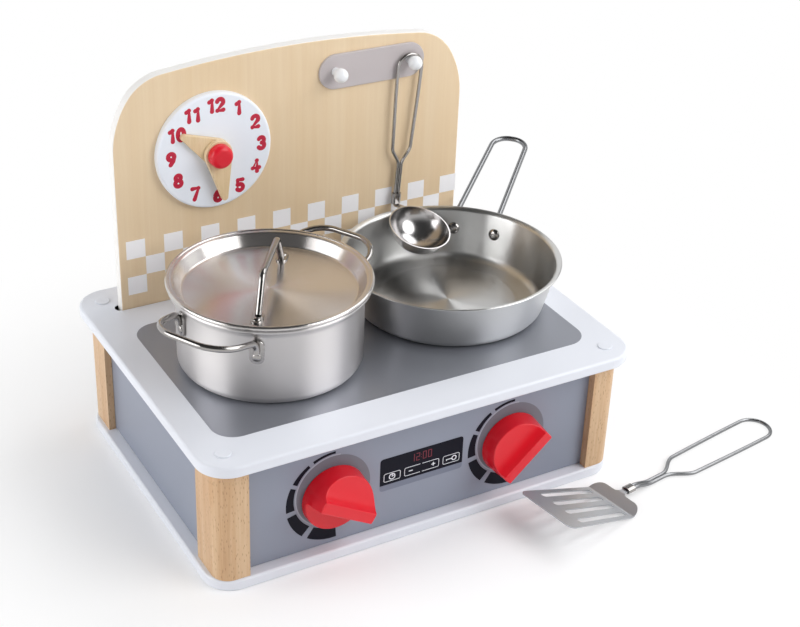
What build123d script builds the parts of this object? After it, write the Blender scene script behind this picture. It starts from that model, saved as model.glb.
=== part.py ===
from build123d import *
import os
from math import asin, atan2, cos, degrees, radians, sin, sqrt, tan

# Toy oven with cookware: a wooden box with knobs, a plywood backboard with a clock and a peg rack,
# a lidded pot, a pan, a ladle hanging on a peg and a spatula lying in front.
# Millimetres. Origin at the centre of the underside, +X right, +Y back, +Z up.

# box
width = 350.0
depth = 266.0
box_height = 110.0
ply = 9.0
plate_radius = 24.0
edge_round = 2.0
base_inset = 5.0
base_inset_y = 7.0
post_inset = 9.0
post_width = 24.0
post_depth = 36.0
post_outer_radius = 13.0
panel_thickness = 6.0
panel_edge = 1.0
panel_setback_y = 7.0
panel_setback_x = 5.5
tongue = 4.0
groove_depth = 5.0

# clearances
free_gap = 0.3
groove_gap = 0.15
running_gap = 0.06
snug_gap = 0.05

# backboard
board_inset = 27.5
board_front = 94.3
board_top = 302.0
board_side_top = 238.0
corner_in = (11.7, 40.1)
corner_drop = (24.4, 6.6)
board_tongue_inset = 9.5
slot_gap_side = 0.45
slot_gap_end = 4.0
rail_top = 84.0
rail_height = 24.0
rail_groove = 10.0
rail_front = 90.0

# clock
clock_x = -69.5
clock_z = 230.0
clock_radius = 46.2
face_thickness = 5.5
face_round = 2.2
hand_thickness = 3.4
hand_hub = 11.0
hour_reach = 32.8
hour_angle = 147.3
minute_reach = 38.6
minute_angle = -83.3
hand_tip = 2.6
spindle_radius = 3.0
clock_cap_radius = 9.2
clock_cap_height = 7.5

# peg rack
rack_shift = 19.7
rack_z = 275.0
rack_length = 92.0
rack_height = 28.0
rack_thickness = 2.0
peg_pitch = 65.0
peg_radius = 3.3
peg_ball = 5.6
peg_ball_y = 83.0
peg_z = 275.5

# knobs
knob_x = 74.2
knob_z = 50.7
knob_radius = 25.0
knob_height = 24.0
knob_draft = 4.0
knob_shelf = 5.5
knob_scoop = 13.0
grip_top = 8.4
grip_foot = 8.2
knob_angles = {"left": -30.0, "right": 42.0}
bore_depth = 11.0
knob_edge = 0.9
shaft_radius = 4.0

# pot and lid
cookware_gap = 5.2
pot_y = -16.0
pot_radius = 68.0
pot_top = 174.0
pot_flare = 5.5
sheet = 1.2
pot_floor_round = 7.0
pot_handle_angles = {"front": -151.7, "rear": 28.3}
lug_spread = 28.6
lug_width = 10.5
lug_low = 145.5
lug_high = 164.5
lug_thickness = 1.5
pot_wire = 2.3
pot_handle_reach = 96.0
pot_handle_half = 29.5
pot_handle_bend = 13.0
lug_bend = 5.0
pot_handle_z = 171.0
lid_overhang = 1.1
lid_lift = 3.5
lid_drop = 10.5
lid_wire = 2.4
lid_handle_angle = 53.5
lid_rivet_reach = 48.5
lid_foot = 42.5
lid_bar_half = 27.0
lid_arch = 25.5
lid_bend = 9.0

# pan
pan_inset = 62.8
pan_y = -2.5
pan_rim = 86.0
pan_top = 151.0
pan_base = 72.0
pan_wall_top = 83.0
pan_floor_round = 8.0
pan_handle_angle = 43.5
pan_leg_half = 17.3
pan_loop_half = 14.5
pan_wire = 2.2
pan_stud_z = 134.5
pan_bend_z = 144.5
pan_handle_end = 201.0
pan_handle_end_z = 166.0
pan_press = 55.0
pan_press_rise = 0.8

# ladle
ladle_wire = 1.4
ladle_tilt = 4.2
ladle_yaw = 6.0
ladle_y = 89.6
ladle_bowl = 25.6
ladle_depth = 20.0
ladle_mouth_tilt = 18.0
ladle_mouth_forward = 35.0
ladle_mouth_drop = 133.4

# spatula
spat_x = 154.5
spat_y = -158.5
spat_yaw = 189.4
spat_rise = 19.0
spat_wire = 1.5
spat_neck = 5.2
spat_length = 166.0
spat_half = 14.0
spat_split = 44.5
spat_wide = 69.0
blade_front = 85.0
blade_rear = 4.0
blade_front_half = 27.5
blade_rear_half = 23.0
blade_crease = 14.0
slot_length = 52.0

os.makedirs("parts", exist_ok=True)

board_half = width / 2 - board_inset
board_tongue_half = board_half - board_tongue_inset
plate_low = box_height - ply
post_x = width / 2 - post_inset
post_y = depth / 2 - post_inset
panel_x = post_x - panel_setback_x
panel_y = post_y - panel_setback_y
board_mid = board_front + ply / 2
caps_at = [(sx * (width / 2 - 19), sy * (depth / 2 - 19)) for sx in (-1, 1) for sy in (-1, 1)]
hob = box_height + free_gap
pot_rim = pot_radius + pot_flare
pan_x = board_half - pan_inset
rack_x = pan_x - rack_shift
pot_x = pan_x - pan_rim - pot_radius - cookware_gap


# base plate, a rounded sheet under the posts
with BuildPart() as base_plate:
    with BuildSketch(Plane.XY):
        RectangleRounded(width - 2 * base_inset, depth - 2 * base_inset_y, plate_radius - 2)
    extrude(amount=ply)
    fillet(base_plate.edges().group_by(Axis.Z)[-1], edge_round)
    fillet(base_plate.edges().group_by(Axis.Z)[0], edge_round)
base_plate.part.label = "base_plate"
export_step(base_plate.part, "parts/base_plate.step")

# top plate with the slot for the backboard and four bores for the corner caps
cap_stem = 4.0
with BuildPart() as top_plate:
    with BuildSketch(Plane.XY.offset(plate_low)):
        RectangleRounded(width, depth, plate_radius)
    extrude(amount=ply)
    fillet(top_plate.edges().group_by(Axis.Z)[-1], edge_round)
    fillet(top_plate.edges().group_by(Axis.Z)[0], edge_round)
    with BuildSketch(Plane.XY.offset(box_height)):
        with Locations((0, board_mid)):
            SlotOverall(2 * (board_half + slot_gap_end), ply + 2 * slot_gap_side)
    extrude(amount=-ply, mode=Mode.SUBTRACT)
    with Locations(*[(x, y, box_height) for x, y in caps_at]):
        Hole(cap_stem + snug_gap, depth=ply)
top_plate.part.label = "top_plate"
export_step(top_plate.part, "parts/top_plate.step")

# corner caps: plugs with a low domed head over the screws in the corners
with BuildPart() as corner_caps:
    with BuildSketch(Plane.XY.offset(box_height - 7.5)):
        with Locations(*caps_at):
            Circle(cap_stem)
    extrude(amount=7.5)
    with BuildSketch(Plane.XY.offset(box_height)):
        with Locations(*caps_at):
            Circle(5.6)
    extrude(amount=1.0)
    fillet(corner_caps.edges().group_by(Axis.Z)[-1], 0.7)
corner_caps.part.label = "corner_caps"
export_step(corner_caps.part, "parts/corner_caps.step")

# four posts, each with a big rounded outer corner and two grooves for the panels
for side, sx in (("left", -1), ("right", 1)):
    for end, sy in (("front", -1), ("rear", 1)):
        with BuildPart() as post:
            with BuildSketch(Plane.XY.offset(ply)) as foot:
                with Locations((sx * (post_x - post_width / 2), sy * (post_y - post_depth / 2))):
                    Rectangle(post_width, post_depth)
                outer = foot.vertices().sort_by_distance((sx * post_x, sy * post_y, ply))[0]
                fillet(outer, post_outer_radius)
                inner = foot.vertices().sort_by_distance((0, 0, ply))[0]
                fillet(inner, 1.5)
            extrude(amount=plate_low - ply)
            with BuildSketch(Plane.XY.offset(ply)):
                groove_x = sx * (post_x - post_width + groove_depth / 2)
                with Locations((groove_x, sy * (panel_y - panel_thickness / 2))):
                    Rectangle(groove_depth, panel_thickness + 2 * groove_gap)
                groove_y = sy * (post_y - post_depth + groove_depth / 2)
                with Locations((sx * (panel_x - panel_thickness / 2), groove_y)):
                    Rectangle(panel_thickness + 2 * groove_gap, groove_depth)
            extrude(amount=plate_low - ply, mode=Mode.SUBTRACT)
        post.part.label = f"post_{end}_{side}"
        export_step(post.part, f"parts/post_{end}_{side}.step")

# front and rear panels, housed in the posts
panel_run_x = 2 * (post_x - post_width + tongue)
panel_run_y = 2 * (post_y - post_depth + tongue)
front_plane = Plane(origin=(0, -panel_y, 0), x_dir=(1, 0, 0), z_dir=(0, -1, 0))
with BuildPart() as front_panel:
    with BuildSketch(front_plane):
        with Locations((0, (ply + plate_low) / 2)):
            Rectangle(panel_run_x, plate_low - ply)
    extrude(amount=-panel_thickness)
    chamfer(front_panel.edges().group_by(Axis.Y)[0].sort_by(Axis.Z)[0], panel_edge)
    with BuildSketch(front_plane):
        with Locations((-knob_x, knob_z), (knob_x, knob_z)):
            Circle(shaft_radius + running_gap)
    extrude(amount=-panel_thickness, mode=Mode.SUBTRACT)
front_panel.part.label = "front_panel"
export_step(front_panel.part, "parts/front_panel.step")

with BuildPart() as rear_panel:
    with BuildSketch(Plane(origin=(0, panel_y, 0), x_dir=(1, 0, 0), z_dir=(0, -1, 0))):
        with Locations((0, (ply + plate_low) / 2)):
            Rectangle(panel_run_x, plate_low - ply)
    extrude(amount=panel_thickness)
    chamfer(rear_panel.edges().group_by(Axis.Y)[-1].sort_by(Axis.Z)[0], panel_edge)
rear_panel.part.label = "rear_panel"
export_step(rear_panel.part, "parts/rear_panel.step")

for side, sx in (("left", -1), ("right", 1)):
    with BuildPart() as side_panel:
        with BuildSketch(Plane(origin=(sx * panel_x, 0, 0), x_dir=(0, 1, 0), z_dir=(sx, 0, 0))):
            with Locations((0, sx * (ply + plate_low) / 2)):
                Rectangle(panel_run_y, plate_low - ply)
        extrude(amount=-panel_thickness)
        outer_edges = side_panel.edges().group_by(Axis.X)[0 if sx < 0 else -1]
        chamfer(outer_edges.sort_by(Axis.Z)[0], panel_edge)
    side_panel.part.label = f"side_panel_{side}"
    export_step(side_panel.part, f"parts/side_panel_{side}.step")

# grooved rail between the rear posts that takes the board's tongue
rail_half = post_x - post_width
rail_back = panel_y - panel_thickness
with BuildPart() as board_rail:
    with BuildSketch(Plane.XY.offset(rail_top - rail_height)):
        with Locations((0, (rail_front + rail_back) / 2)):
            Rectangle(2 * rail_half, rail_back - rail_front)
    extrude(amount=rail_height)
    with BuildSketch(Plane.XY.offset(rail_top)):
        with Locations((0, board_mid)):
            Rectangle(2 * board_tongue_half + 2, ply + 2 * free_gap)
    extrude(amount=-rail_groove, mode=Mode.SUBTRACT)
board_rail.part.label = "board_rail"
export_step(board_rail.part, "parts/board_rail.step")

# backboard: arched sheet with shoulders that sit on the rear posts and a tongue in the rail
corner_mid = (board_half - corner_in[0], board_top - corner_drop[0])
corner_end = (board_half - corner_in[1], board_top - corner_drop[1])
shoulder_z = plate_low + free_gap
tongue_z = rail_top - rail_groove + free_gap
board_plane = Plane(origin=(0, board_front, 0), x_dir=(1, 0, 0), z_dir=(0, -1, 0))
with BuildPart() as backboard:
    with BuildSketch(board_plane):
        with BuildLine():
            lower = TangentArc((board_half, board_side_top), corner_mid, tangent=(0, 1))
            upper = TangentArc(corner_mid, corner_end, tangent=lower % 1)
            ThreePointArc(corner_end, (0, board_top), (-corner_end[0], corner_end[1]))
            mirror(lower, about=Plane.YZ)
            mirror(upper, about=Plane.YZ)
            Line((-board_half, board_side_top), (-board_half, shoulder_z))
            Line((board_half, shoulder_z), (board_half, board_side_top))
            Line((-board_half, shoulder_z), (board_half, shoulder_z))
        make_face()
    extrude(amount=-ply)
    fillet(backboard.edges().group_by(Axis.Y)[0].sort_by(Axis.Z)[1:], 1.2)
    fillet(backboard.edges().group_by(Axis.Y)[-1].sort_by(Axis.Z)[1:], 1.2)
    with BuildSketch(board_plane):
        with Locations((0, (tongue_z + shoulder_z) / 2)):
            Rectangle(2 * board_tongue_half, shoulder_z - tongue_z)
    extrude(amount=-ply)
    with BuildSketch(board_plane):
        with Locations((clock_x, clock_z)):
            Circle(spindle_radius + snug_gap)
    extrude(amount=-ply, mode=Mode.SUBTRACT)
    with BuildSketch(board_plane):
        with Locations((rack_x - peg_pitch / 2, peg_z), (rack_x + peg_pitch / 2, peg_z)):
            Circle(peg_radius + snug_gap)
    extrude(amount=-(ply - 2), mode=Mode.SUBTRACT)
backboard.part.label = "backboard"
export_step(backboard.part, "parts/backboard.step")

# clock face: a white disc with a softened rim
face_y = board_front - face_thickness
with BuildPart() as clock_face:
    with BuildSketch(board_plane):
        with Locations((clock_x, clock_z)):
            Circle(clock_radius)
            Circle(spindle_radius + snug_gap, mode=Mode.SUBTRACT)
    extrude(amount=face_thickness)
    rim = clock_face.edges().group_by(Axis.Y)[0].sort_by(SortBy.LENGTH)[-1]
    fillet(rim, face_round)
clock_face.part.label = "clock_face"
export_step(clock_face.part, "parts/clock_face.step")

# teardrop hands, stacked on the spindle with the minute hand in front
hour_y = face_y - free_gap
minute_y = hour_y - hand_thickness - free_gap
hands = (
    ("hour_hand", hour_y, hour_reach, hour_angle),
    ("minute_hand", minute_y, minute_reach, minute_angle),
)
for name, back_y, reach, angle in hands:
    tip_at = reach - hand_tip
    lean = asin((hand_hub - hand_tip) / tip_at)
    tangent = (sin(lean), cos(lean))
    with BuildPart() as hand:
        pointing = (cos(radians(angle)), 0, sin(radians(angle)))
        with BuildSketch(Plane(origin=(clock_x, back_y, clock_z), x_dir=pointing, z_dir=(0, -1, 0))):
            with BuildLine():
                a = (hand_hub * tangent[0], hand_hub * tangent[1])
                b = (tip_at + hand_tip * tangent[0], hand_tip * tangent[1])
                Line(a, b)
                ThreePointArc(b, (reach, 0), (b[0], -b[1]))
                Line((b[0], -b[1]), (a[0], -a[1]))
                ThreePointArc((a[0], -a[1]), (-hand_hub, 0), a)
            make_face()
            Circle(spindle_radius + running_gap, mode=Mode.SUBTRACT)
        extrude(amount=hand_thickness)
        front_edges = hand.edges().group_by(Axis.Y)[0].sort_by(SortBy.LENGTH)
        bore_edge = 2 * 3.14159 * (spindle_radius + running_gap)
        fillet([e for e in front_edges if abs(e.length - bore_edge) > 1], 0.7)
    hand.part.label = name
    export_step(hand.part, f"parts/{name}.step")

# red hub of the clock, one piece with the spindle that passes through hands, face and board
cap_back = minute_y - hand_thickness - free_gap
board_back = board_front + ply
with BuildPart() as clock_cap:
    with BuildSketch(Plane(origin=(clock_x, cap_back, clock_z), x_dir=(1, 0, 0), z_dir=(0, -1, 0))):
        Circle(clock_cap_radius)
    extrude(amount=clock_cap_height)
    fillet(clock_cap.edges().group_by(Axis.Y)[0], 4.2)
    with BuildSketch(Plane(origin=(clock_x, cap_back, clock_z), x_dir=(1, 0, 0), z_dir=(0, -1, 0))):
        Circle(spindle_radius)
    extrude(amount=-(board_back + 5.5 - cap_back))
clock_cap.part.label = "clock_cap"
export_step(clock_cap.part, "parts/clock_cap.step")

# nut and washer behind the board
with BuildPart() as clock_nut:
    with BuildSketch(Plane(origin=(clock_x, board_back, clock_z), x_dir=(1, 0, 0), z_dir=(0, 1, 0))):
        Circle(7.0)
        Circle(spindle_radius + snug_gap, mode=Mode.SUBTRACT)
    extrude(amount=1.0)
    with BuildSketch(Plane(origin=(clock_x, board_back + 1, clock_z), x_dir=(1, 0, 0), z_dir=(0, 1, 0))):
        RegularPolygon(5.4, 6)
        Circle(spindle_radius + snug_gap, mode=Mode.SUBTRACT)
    extrude(amount=3.5)
clock_nut.part.label = "clock_nut"
export_step(clock_nut.part, "parts/clock_nut.step")

# peg rack: rounded metal plate
with BuildPart() as hook_plate:
    with BuildSketch(board_plane):
        with Locations((rack_x, rack_z)):
            SlotOverall(rack_length, rack_height)
        with Locations((rack_x - peg_pitch / 2, peg_z), (rack_x + peg_pitch / 2, peg_z)):
            Circle(peg_radius + snug_gap, mode=Mode.SUBTRACT)
    extrude(amount=rack_thickness)
    long_rim = hook_plate.edges().group_by(Axis.Y)[0].filter_by(lambda e: e.length > 25)
    fillet(long_rim, 0.7)
hook_plate.part.label = "hook_plate"
export_step(hook_plate.part, "parts/hook_plate.step")

# two ball pegs through the plate into the board
with BuildPart() as hook_pegs:
    with BuildSketch(Plane(origin=(0, board_front + ply - 2.5, 0), x_dir=(1, 0, 0), z_dir=(0, -1, 0))):
        with Locations((rack_x - peg_pitch / 2, peg_z), (rack_x + peg_pitch / 2, peg_z)):
            Circle(peg_radius)
    extrude(amount=board_front + ply - 2.5 - peg_ball_y)
    with Locations(*[(rack_x + s * peg_pitch / 2, peg_ball_y, peg_z) for s in (-1, 1)]):
        Sphere(peg_ball)
hook_pegs.part.label = "hook_pegs"
export_step(hook_pegs.part, "parts/hook_pegs.step")

# knobs: a tapered cylinder with one side cut down to a shelf and the other scooped, which leaves a grip
knob_back = -panel_y - 0.5
for side, sx in (("left", -1), ("right", 1)):
    knob_face = Plane(origin=(sx * knob_x, knob_back, knob_z), x_dir=(1, 0, 0), z_dir=(0, -1, 0))
    turn_c = cos(radians(knob_angles[side]))
    turn_s = sin(radians(knob_angles[side]))
    across = Plane(origin=knob_face.origin, x_dir=(-turn_s, 0, turn_c), z_dir=(turn_c, 0, turn_s))
    over = knob_height + 1
    reach = knob_radius + 5
    half_top = grip_top / 2
    with BuildPart() as knob:
        with BuildSketch(knob_face):
            Circle(knob_radius)
        extrude(amount=knob_height, taper=knob_draft)
        with BuildSketch(across):
            with BuildLine():
                Line((half_top, over), (half_top, knob_height))
                Spline((half_top, knob_height), (reach, knob_scoop), tangents=[(0.35, -1), (1, -0.02)])
                Polyline((reach, knob_scoop), (reach, over), (half_top, over))
            make_face()
            low_side = [(-half_top, over), (-grip_foot, knob_shelf), (-reach, knob_shelf), (-reach, over)]
            Polygon(*low_side, align=None)
        extrude(amount=reach, both=True, mode=Mode.SUBTRACT)
        rims = knob.edges().filter_by(GeomType.LINE, reverse=True).group_by(Axis.Y)[-1]
        fillet([e for e in knob.edges() if e not in rims and e.center().Y < knob_back - 1], knob_edge)
        with BuildSketch(knob_face):
            Circle(shaft_radius + 0.02)
        extrude(amount=bore_depth, mode=Mode.SUBTRACT)
    knob.part.label = f"knob_{side}"
    export_step(knob.part, f"parts/knob_{side}.step")

    with BuildPart() as spindle:
        with BuildSketch(knob_face.offset(bore_depth - 0.2)):
            Circle(shaft_radius)
        extrude(amount=-(bore_depth - 0.2 + 0.5 + panel_thickness + 6))
    spindle.part.label = f"knob_{side}_spindle"
    export_step(spindle.part, f"parts/knob_{side}_spindle.step")

    with BuildPart() as retainer:
        with BuildSketch(knob_face.offset(-(0.5 + panel_thickness + free_gap))):
            Circle(8.5)
            Circle(shaft_radius + 0.02, mode=Mode.SUBTRACT)
        extrude(amount=-2.0)
    retainer.part.label = f"knob_{side}_retainer"
    export_step(retainer.part, f"parts/knob_{side}_retainer.step")



def around(axis_x, axis_y, angle, radius, z, lean=0.0):
    """Plane on a round wall: origin on the wall, x along it, z outwards and tilted down by lean."""
    out = (cos(radians(angle)), sin(radians(angle)))
    normal = (out[0] * cos(radians(lean)), out[1] * cos(radians(lean)), -sin(radians(lean)))
    start = (axis_x + radius * out[0], axis_y + radius * out[1], z)
    return Plane(origin=start, x_dir=(-out[1], out[0], 0), z_dir=normal)


def turned(axis_x, axis_y, angle, point):
    """Point given as outward, sideways and height in a frame turned about a vertical axis."""
    c, s = cos(radians(angle)), sin(radians(angle))
    return (axis_x + point[0] * c - point[1] * s, axis_y + point[0] * s + point[1] * c, point[2])


def part_way(a, b, share):
    """Point on the line from a to b."""
    return tuple(p + (q - p) * share for p, q in zip(a, b))


# pot shell: straight wall, rounded foot, flared and rolled rim, bored for four rivets
pot_axis = Axis((pot_x, pot_y, 0), (0, 0, 1))
pot_plane = Plane(origin=(pot_x, pot_y, 0), x_dir=(1, 0, 0), z_dir=(0, -1, 0))
bead = 1.5
flare_z = pot_top - 9.5
rivet_low = lug_low + 5.5
rivet_radius = 2.0
rivet_turns = [a + t for a in pot_handle_angles.values() for t in (-lug_spread, lug_spread)]
with BuildPart() as pot_shell:
    with BuildSketch(pot_plane):
        with BuildLine():
            foot_arc = pot_floor_round - sheet / 2
            wall_r = pot_radius - sheet / 2
            low = hob + sheet / 2
            Line((0, low), (wall_r - foot_arc, low))
            RadiusArc((wall_r - foot_arc, low), (wall_r, low + foot_arc), -foot_arc)
            Line((wall_r, low + foot_arc), (wall_r, flare_z))
            Spline((wall_r, flare_z), (pot_rim - bead, pot_top - bead - 0.6), tangents=[(0, 1), (0.9, 0.5)])
        trace(line_width=sheet)
        with Locations((pot_rim - bead, pot_top - bead)):
            Circle(bead)
        with Locations((-500, 0)):
            Rectangle(1000, 1000, mode=Mode.SUBTRACT)
    revolve(axis=pot_axis)
    for turn in rivet_turns:
        with BuildSketch(around(pot_x, pot_y, turn, pot_radius + 2, rivet_low)):
            Circle(rivet_radius + snug_gap)
        extrude(amount=-8, mode=Mode.SUBTRACT)
pot_shell.part.label = "pot_shell"
export_step(pot_shell.part, "parts/pot_shell.step")

# pot handles: bent wire whose flattened ends are riveted to the wall
lug_mid = (lug_low + lug_high) / 2
for end, angle in pot_handle_angles.items():
    leg_r = pot_radius + snug_gap + lug_thickness + pot_wire - 0.9
    foot_u = leg_r * cos(radians(lug_spread))
    foot_t = leg_r * sin(radians(lug_spread))
    with BuildPart() as pot_handle:
        sides = []
        for s in (-1, 1):
            foot = turned(pot_x, pot_y, angle, (foot_u, s * foot_t, lug_mid))
            knee = turned(pot_x, pot_y, angle, (foot_u, s * foot_t, lug_high - 1.0))
            bow = turned(pot_x, pot_y, angle, (pot_handle_reach, s * pot_handle_half, pot_handle_z))
            sides.append((foot, knee, part_way(knee, bow, 0.45), bow))
        with BuildLine():
            FilletPolyline(*sides[0][:3], radius=lug_bend)
            FilletPolyline(sides[0][2], sides[0][3], sides[1][3], sides[1][2], radius=pot_handle_bend)
            FilletPolyline(*sides[1][2::-1], radius=lug_bend)
        with BuildSketch(Plane(origin=sides[0][0], z_dir=(0, 0, 1))):
            Circle(pot_wire)
        sweep()
        for turn in (-lug_spread, lug_spread):
            lug_plane = around(pot_x, pot_y, angle + turn, pot_radius + snug_gap, lug_mid)
            with BuildSketch(lug_plane):
                RectangleRounded(lug_width, lug_high - lug_low, lug_width / 2 - 0.2)
            extrude(amount=lug_thickness)
            with BuildSketch(around(pot_x, pot_y, angle + turn, pot_radius + snug_gap, rivet_low)):
                Circle(rivet_radius + snug_gap)
            extrude(amount=lug_thickness + 2 * pot_wire, mode=Mode.SUBTRACT)
    pot_handle.part.label = f"pot_handle_{end}"
    export_step(pot_handle.part, f"parts/pot_handle_{end}.step")

# pot rivets: shank through lug and wall, domed head outside, flat head inside
with BuildPart() as pot_rivets:
    for turn in rivet_turns:
        outer = pot_radius + snug_gap + lug_thickness
        with BuildSketch(around(pot_x, pot_y, turn, outer, rivet_low)):
            Circle(3.2)
        extrude(amount=1.3, taper=35)
        with BuildSketch(around(pot_x, pot_y, turn, outer, rivet_low)):
            Circle(rivet_radius)
        extrude(amount=-(lug_thickness + snug_gap + sheet + 1.0))
        with BuildSketch(around(pot_x, pot_y, turn, pot_radius - sheet - 0.15, rivet_low)):
            Circle(3.0)
        extrude(amount=-0.9, taper=35)
pot_rivets.part.label = "pot_rivets"
export_step(pot_rivets.part, "parts/pot_rivets.step")

# lid: flat dish sunk into the pot, with a steep wall up to a rolled rim that sits on the pot
lid_bead = 1.6
lid_sheet = 1.0
lid_rivet = 1.8
lid_rim = pot_rim + lid_overhang
lid_height = pot_top + lid_lift
lid_recess = lid_height - lid_drop
dish = pot_radius - sheet - 3.4
with BuildPart() as lid_shell:
    with BuildSketch(pot_plane):
        with BuildLine():
            FilletPolyline((0, lid_recess), (dish, lid_recess), (dish + 5.6, lid_height - 2.3), radius=3.0)
            Spline((dish + 5.6, lid_height - 2.3), (lid_rim - lid_bead - 0.4, lid_height - 1.1),
                   tangents=[(0.55, 0.83), (1, 0.1)])
        trace(line_width=lid_sheet)
        with Locations((lid_rim - lid_bead, lid_height - lid_bead)):
            Circle(lid_bead)
        with Locations((-500, 0)):
            Rectangle(1000, 1000, mode=Mode.SUBTRACT)
    revolve(axis=pot_axis)
    for s in (-1, 1):
        hole = turned(pot_x, pot_y, lid_handle_angle, (s * lid_rivet_reach, 0, lid_recess + 5))
        with BuildSketch(Plane(origin=hole)):
            Circle(lid_rivet + snug_gap)
        extrude(amount=-10, mode=Mode.SUBTRACT)
lid_shell.part.label = "lid_shell"
export_step(lid_shell.part, "parts/lid_shell.step")

# lid handle: wire arch with flattened riveted feet
pad = 1.4
pad_low = lid_recess + lid_sheet / 2 + snug_gap
with BuildPart() as lid_handle:
    arch_z = lid_recess + lid_sheet / 2 + lid_arch
    run = [(-lid_foot, 0, pad_low + pad), (-lid_bar_half, 0, arch_z)]
    run += [(lid_bar_half, 0, arch_z), (lid_foot, 0, pad_low + pad)]
    pts = [turned(pot_x, pot_y, lid_handle_angle, p) for p in run]
    with BuildLine():
        FilletPolyline(*pts, radius=lid_bend)
    with BuildSketch(Plane(origin=pts[0], z_dir=Vector(*pts[1]) - Vector(*pts[0]))):
        Circle(lid_wire)
    sweep()
    for s in (-1, 1):
        pad_mid = lid_rivet_reach - 3.0
        foot_plane = Plane(origin=turned(pot_x, pot_y, lid_handle_angle, (s * pad_mid, 0, pad_low)),
                           x_dir=(cos(radians(lid_handle_angle)), sin(radians(lid_handle_angle)), 0),
                           z_dir=(0, 0, 1))
        with BuildSketch(foot_plane):
            SlotOverall(15.0, 8.4)
        extrude(amount=pad)
    for s in (-1, 1):
        head = turned(pot_x, pot_y, lid_handle_angle, (s * lid_rivet_reach, 0, pad_low))
        with BuildSketch(Plane(origin=head)):
            Circle(lid_rivet + snug_gap)
        extrude(amount=pad, mode=Mode.SUBTRACT)
    with BuildSketch(Plane.XY.offset(pad_low)):
        with Locations((pot_x, pot_y)):
            Circle(lid_rim)
    extrude(amount=2 * lid_arch, mode=Mode.INTERSECT)
lid_handle.part.label = "lid_handle"
export_step(lid_handle.part, "parts/lid_handle.step")

with BuildPart() as lid_rivets:
    for s in (-1, 1):
        head = turned(pot_x, pot_y, lid_handle_angle, (s * lid_rivet_reach, 0, pad_low + pad))
        with BuildSketch(Plane(origin=head)):
            Circle(3.0)
        extrude(amount=1.2, taper=35)
        with BuildSketch(Plane(origin=head)):
            Circle(lid_rivet)
        extrude(amount=-(pad + lid_sheet + 0.8))
lid_rivets.part.label = "lid_rivets"
export_step(lid_rivets.part, "parts/lid_rivets.step")

# pan shell: flaring wall, rounded foot, flat turned lip
pan_axis = Axis((pan_x, pan_y, 0), (0, 0, 1))
pan_plane = Plane(origin=(pan_x, pan_y, 0), x_dir=(1, 0, 0), z_dir=(0, -1, 0))
pan_low = hob + sheet / 2
pan_wall_z = pan_top - 2.8
wall_lean = degrees(atan2(pan_wall_top - pan_base - 1.2, pan_wall_z - hob))


def pan_wall(z):
    """Outer radius of the pan's wall at a height."""
    return pan_base + 1.2 + (z - hob) * tan(radians(wall_lean))


pan_holes = [pan_handle_angle + s * degrees(asin(pan_leg_half / pan_wall(pan_stud_z))) for s in (-1, 1)]
with BuildPart() as pan_shell:
    with BuildSketch(pan_plane):
        with BuildLine():
            Polyline((0, pan_low + pan_press_rise), (pan_press, pan_low + pan_press_rise),
                     (pan_press + 2 * pan_press_rise, pan_low), (pan_press + 4, pan_low))
            FilletPolyline((pan_press + 4, pan_low), (pan_base + 0.8, pan_low),
                           (pan_wall_top - 0.6, pan_wall_z),
                           radius=pan_floor_round)
            Spline((pan_wall_top - 0.6, pan_wall_z), (pan_rim, pan_top - sheet / 2),
                   tangents=[(sin(radians(wall_lean)), cos(radians(wall_lean))), (1, 0.12)])
        trace(line_width=sheet)
        with Locations((-500, 0)):
            Rectangle(1000, 1000, mode=Mode.SUBTRACT)
    revolve(axis=pan_axis)
    for angle in pan_holes:
        stud_plane = around(pan_x, pan_y, angle, pan_wall(pan_stud_z), pan_stud_z, wall_lean)
        with BuildSketch(stud_plane.offset(3)):
            Circle(2.2 + snug_gap)
        extrude(amount=-8, mode=Mode.SUBTRACT)
pan_shell.part.label = "pan_shell"
export_step(pan_shell.part, "parts/pan_shell.step")

# pan handle: wire loop whose flattened ends are riveted to the outside of the wall
with BuildPart() as pan_handle:
    hold = pan_wire + snug_gap + 0.35
    legs = []
    for s in (-1, 1):
        low_z = pan_stud_z + 2.5
        low_u = sqrt((pan_wall(low_z) + hold) ** 2 - pan_leg_half ** 2)
        bend_u = sqrt((pan_wall(pan_bend_z) + hold) ** 2 - pan_leg_half ** 2)
        low = turned(pan_x, pan_y, pan_handle_angle, (low_u, s * pan_leg_half, low_z))
        bend = turned(pan_x, pan_y, pan_handle_angle, (bend_u, s * pan_leg_half, pan_bend_z))
        tip = (pan_handle_end, s * pan_loop_half, pan_handle_end_z)
        corner = turned(pan_x, pan_y, pan_handle_angle, tip)
        legs.append((low, bend, part_way(bend, corner, 0.5), corner))
    with BuildLine():
        FilletPolyline(*legs[0][:3], radius=4.0)
        FilletPolyline(legs[0][2], legs[0][3], legs[1][3], legs[1][2], radius=pan_loop_half - 1)
        FilletPolyline(*legs[1][2::-1], radius=4.0)
    with BuildSketch(Plane(origin=legs[0][0], z_dir=Vector(*legs[0][1]) - Vector(*legs[0][0]))):
        Circle(pan_wire)
    sweep()
    for angle in pan_holes:
        foot_plane = around(pan_x, pan_y, angle, pan_wall(pan_stud_z), pan_stud_z, wall_lean)
        foot_plane = foot_plane.offset(snug_gap)
        with BuildSketch(foot_plane):
            with Locations((0, 1.5)):
                SlotOverall(15.0, 8.4, rotation=90)
            Circle(2.2 + snug_gap, mode=Mode.SUBTRACT)
        extrude(amount=1.5)
pan_handle.part.label = "pan_handle"
export_step(pan_handle.part, "parts/pan_handle.step")

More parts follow.
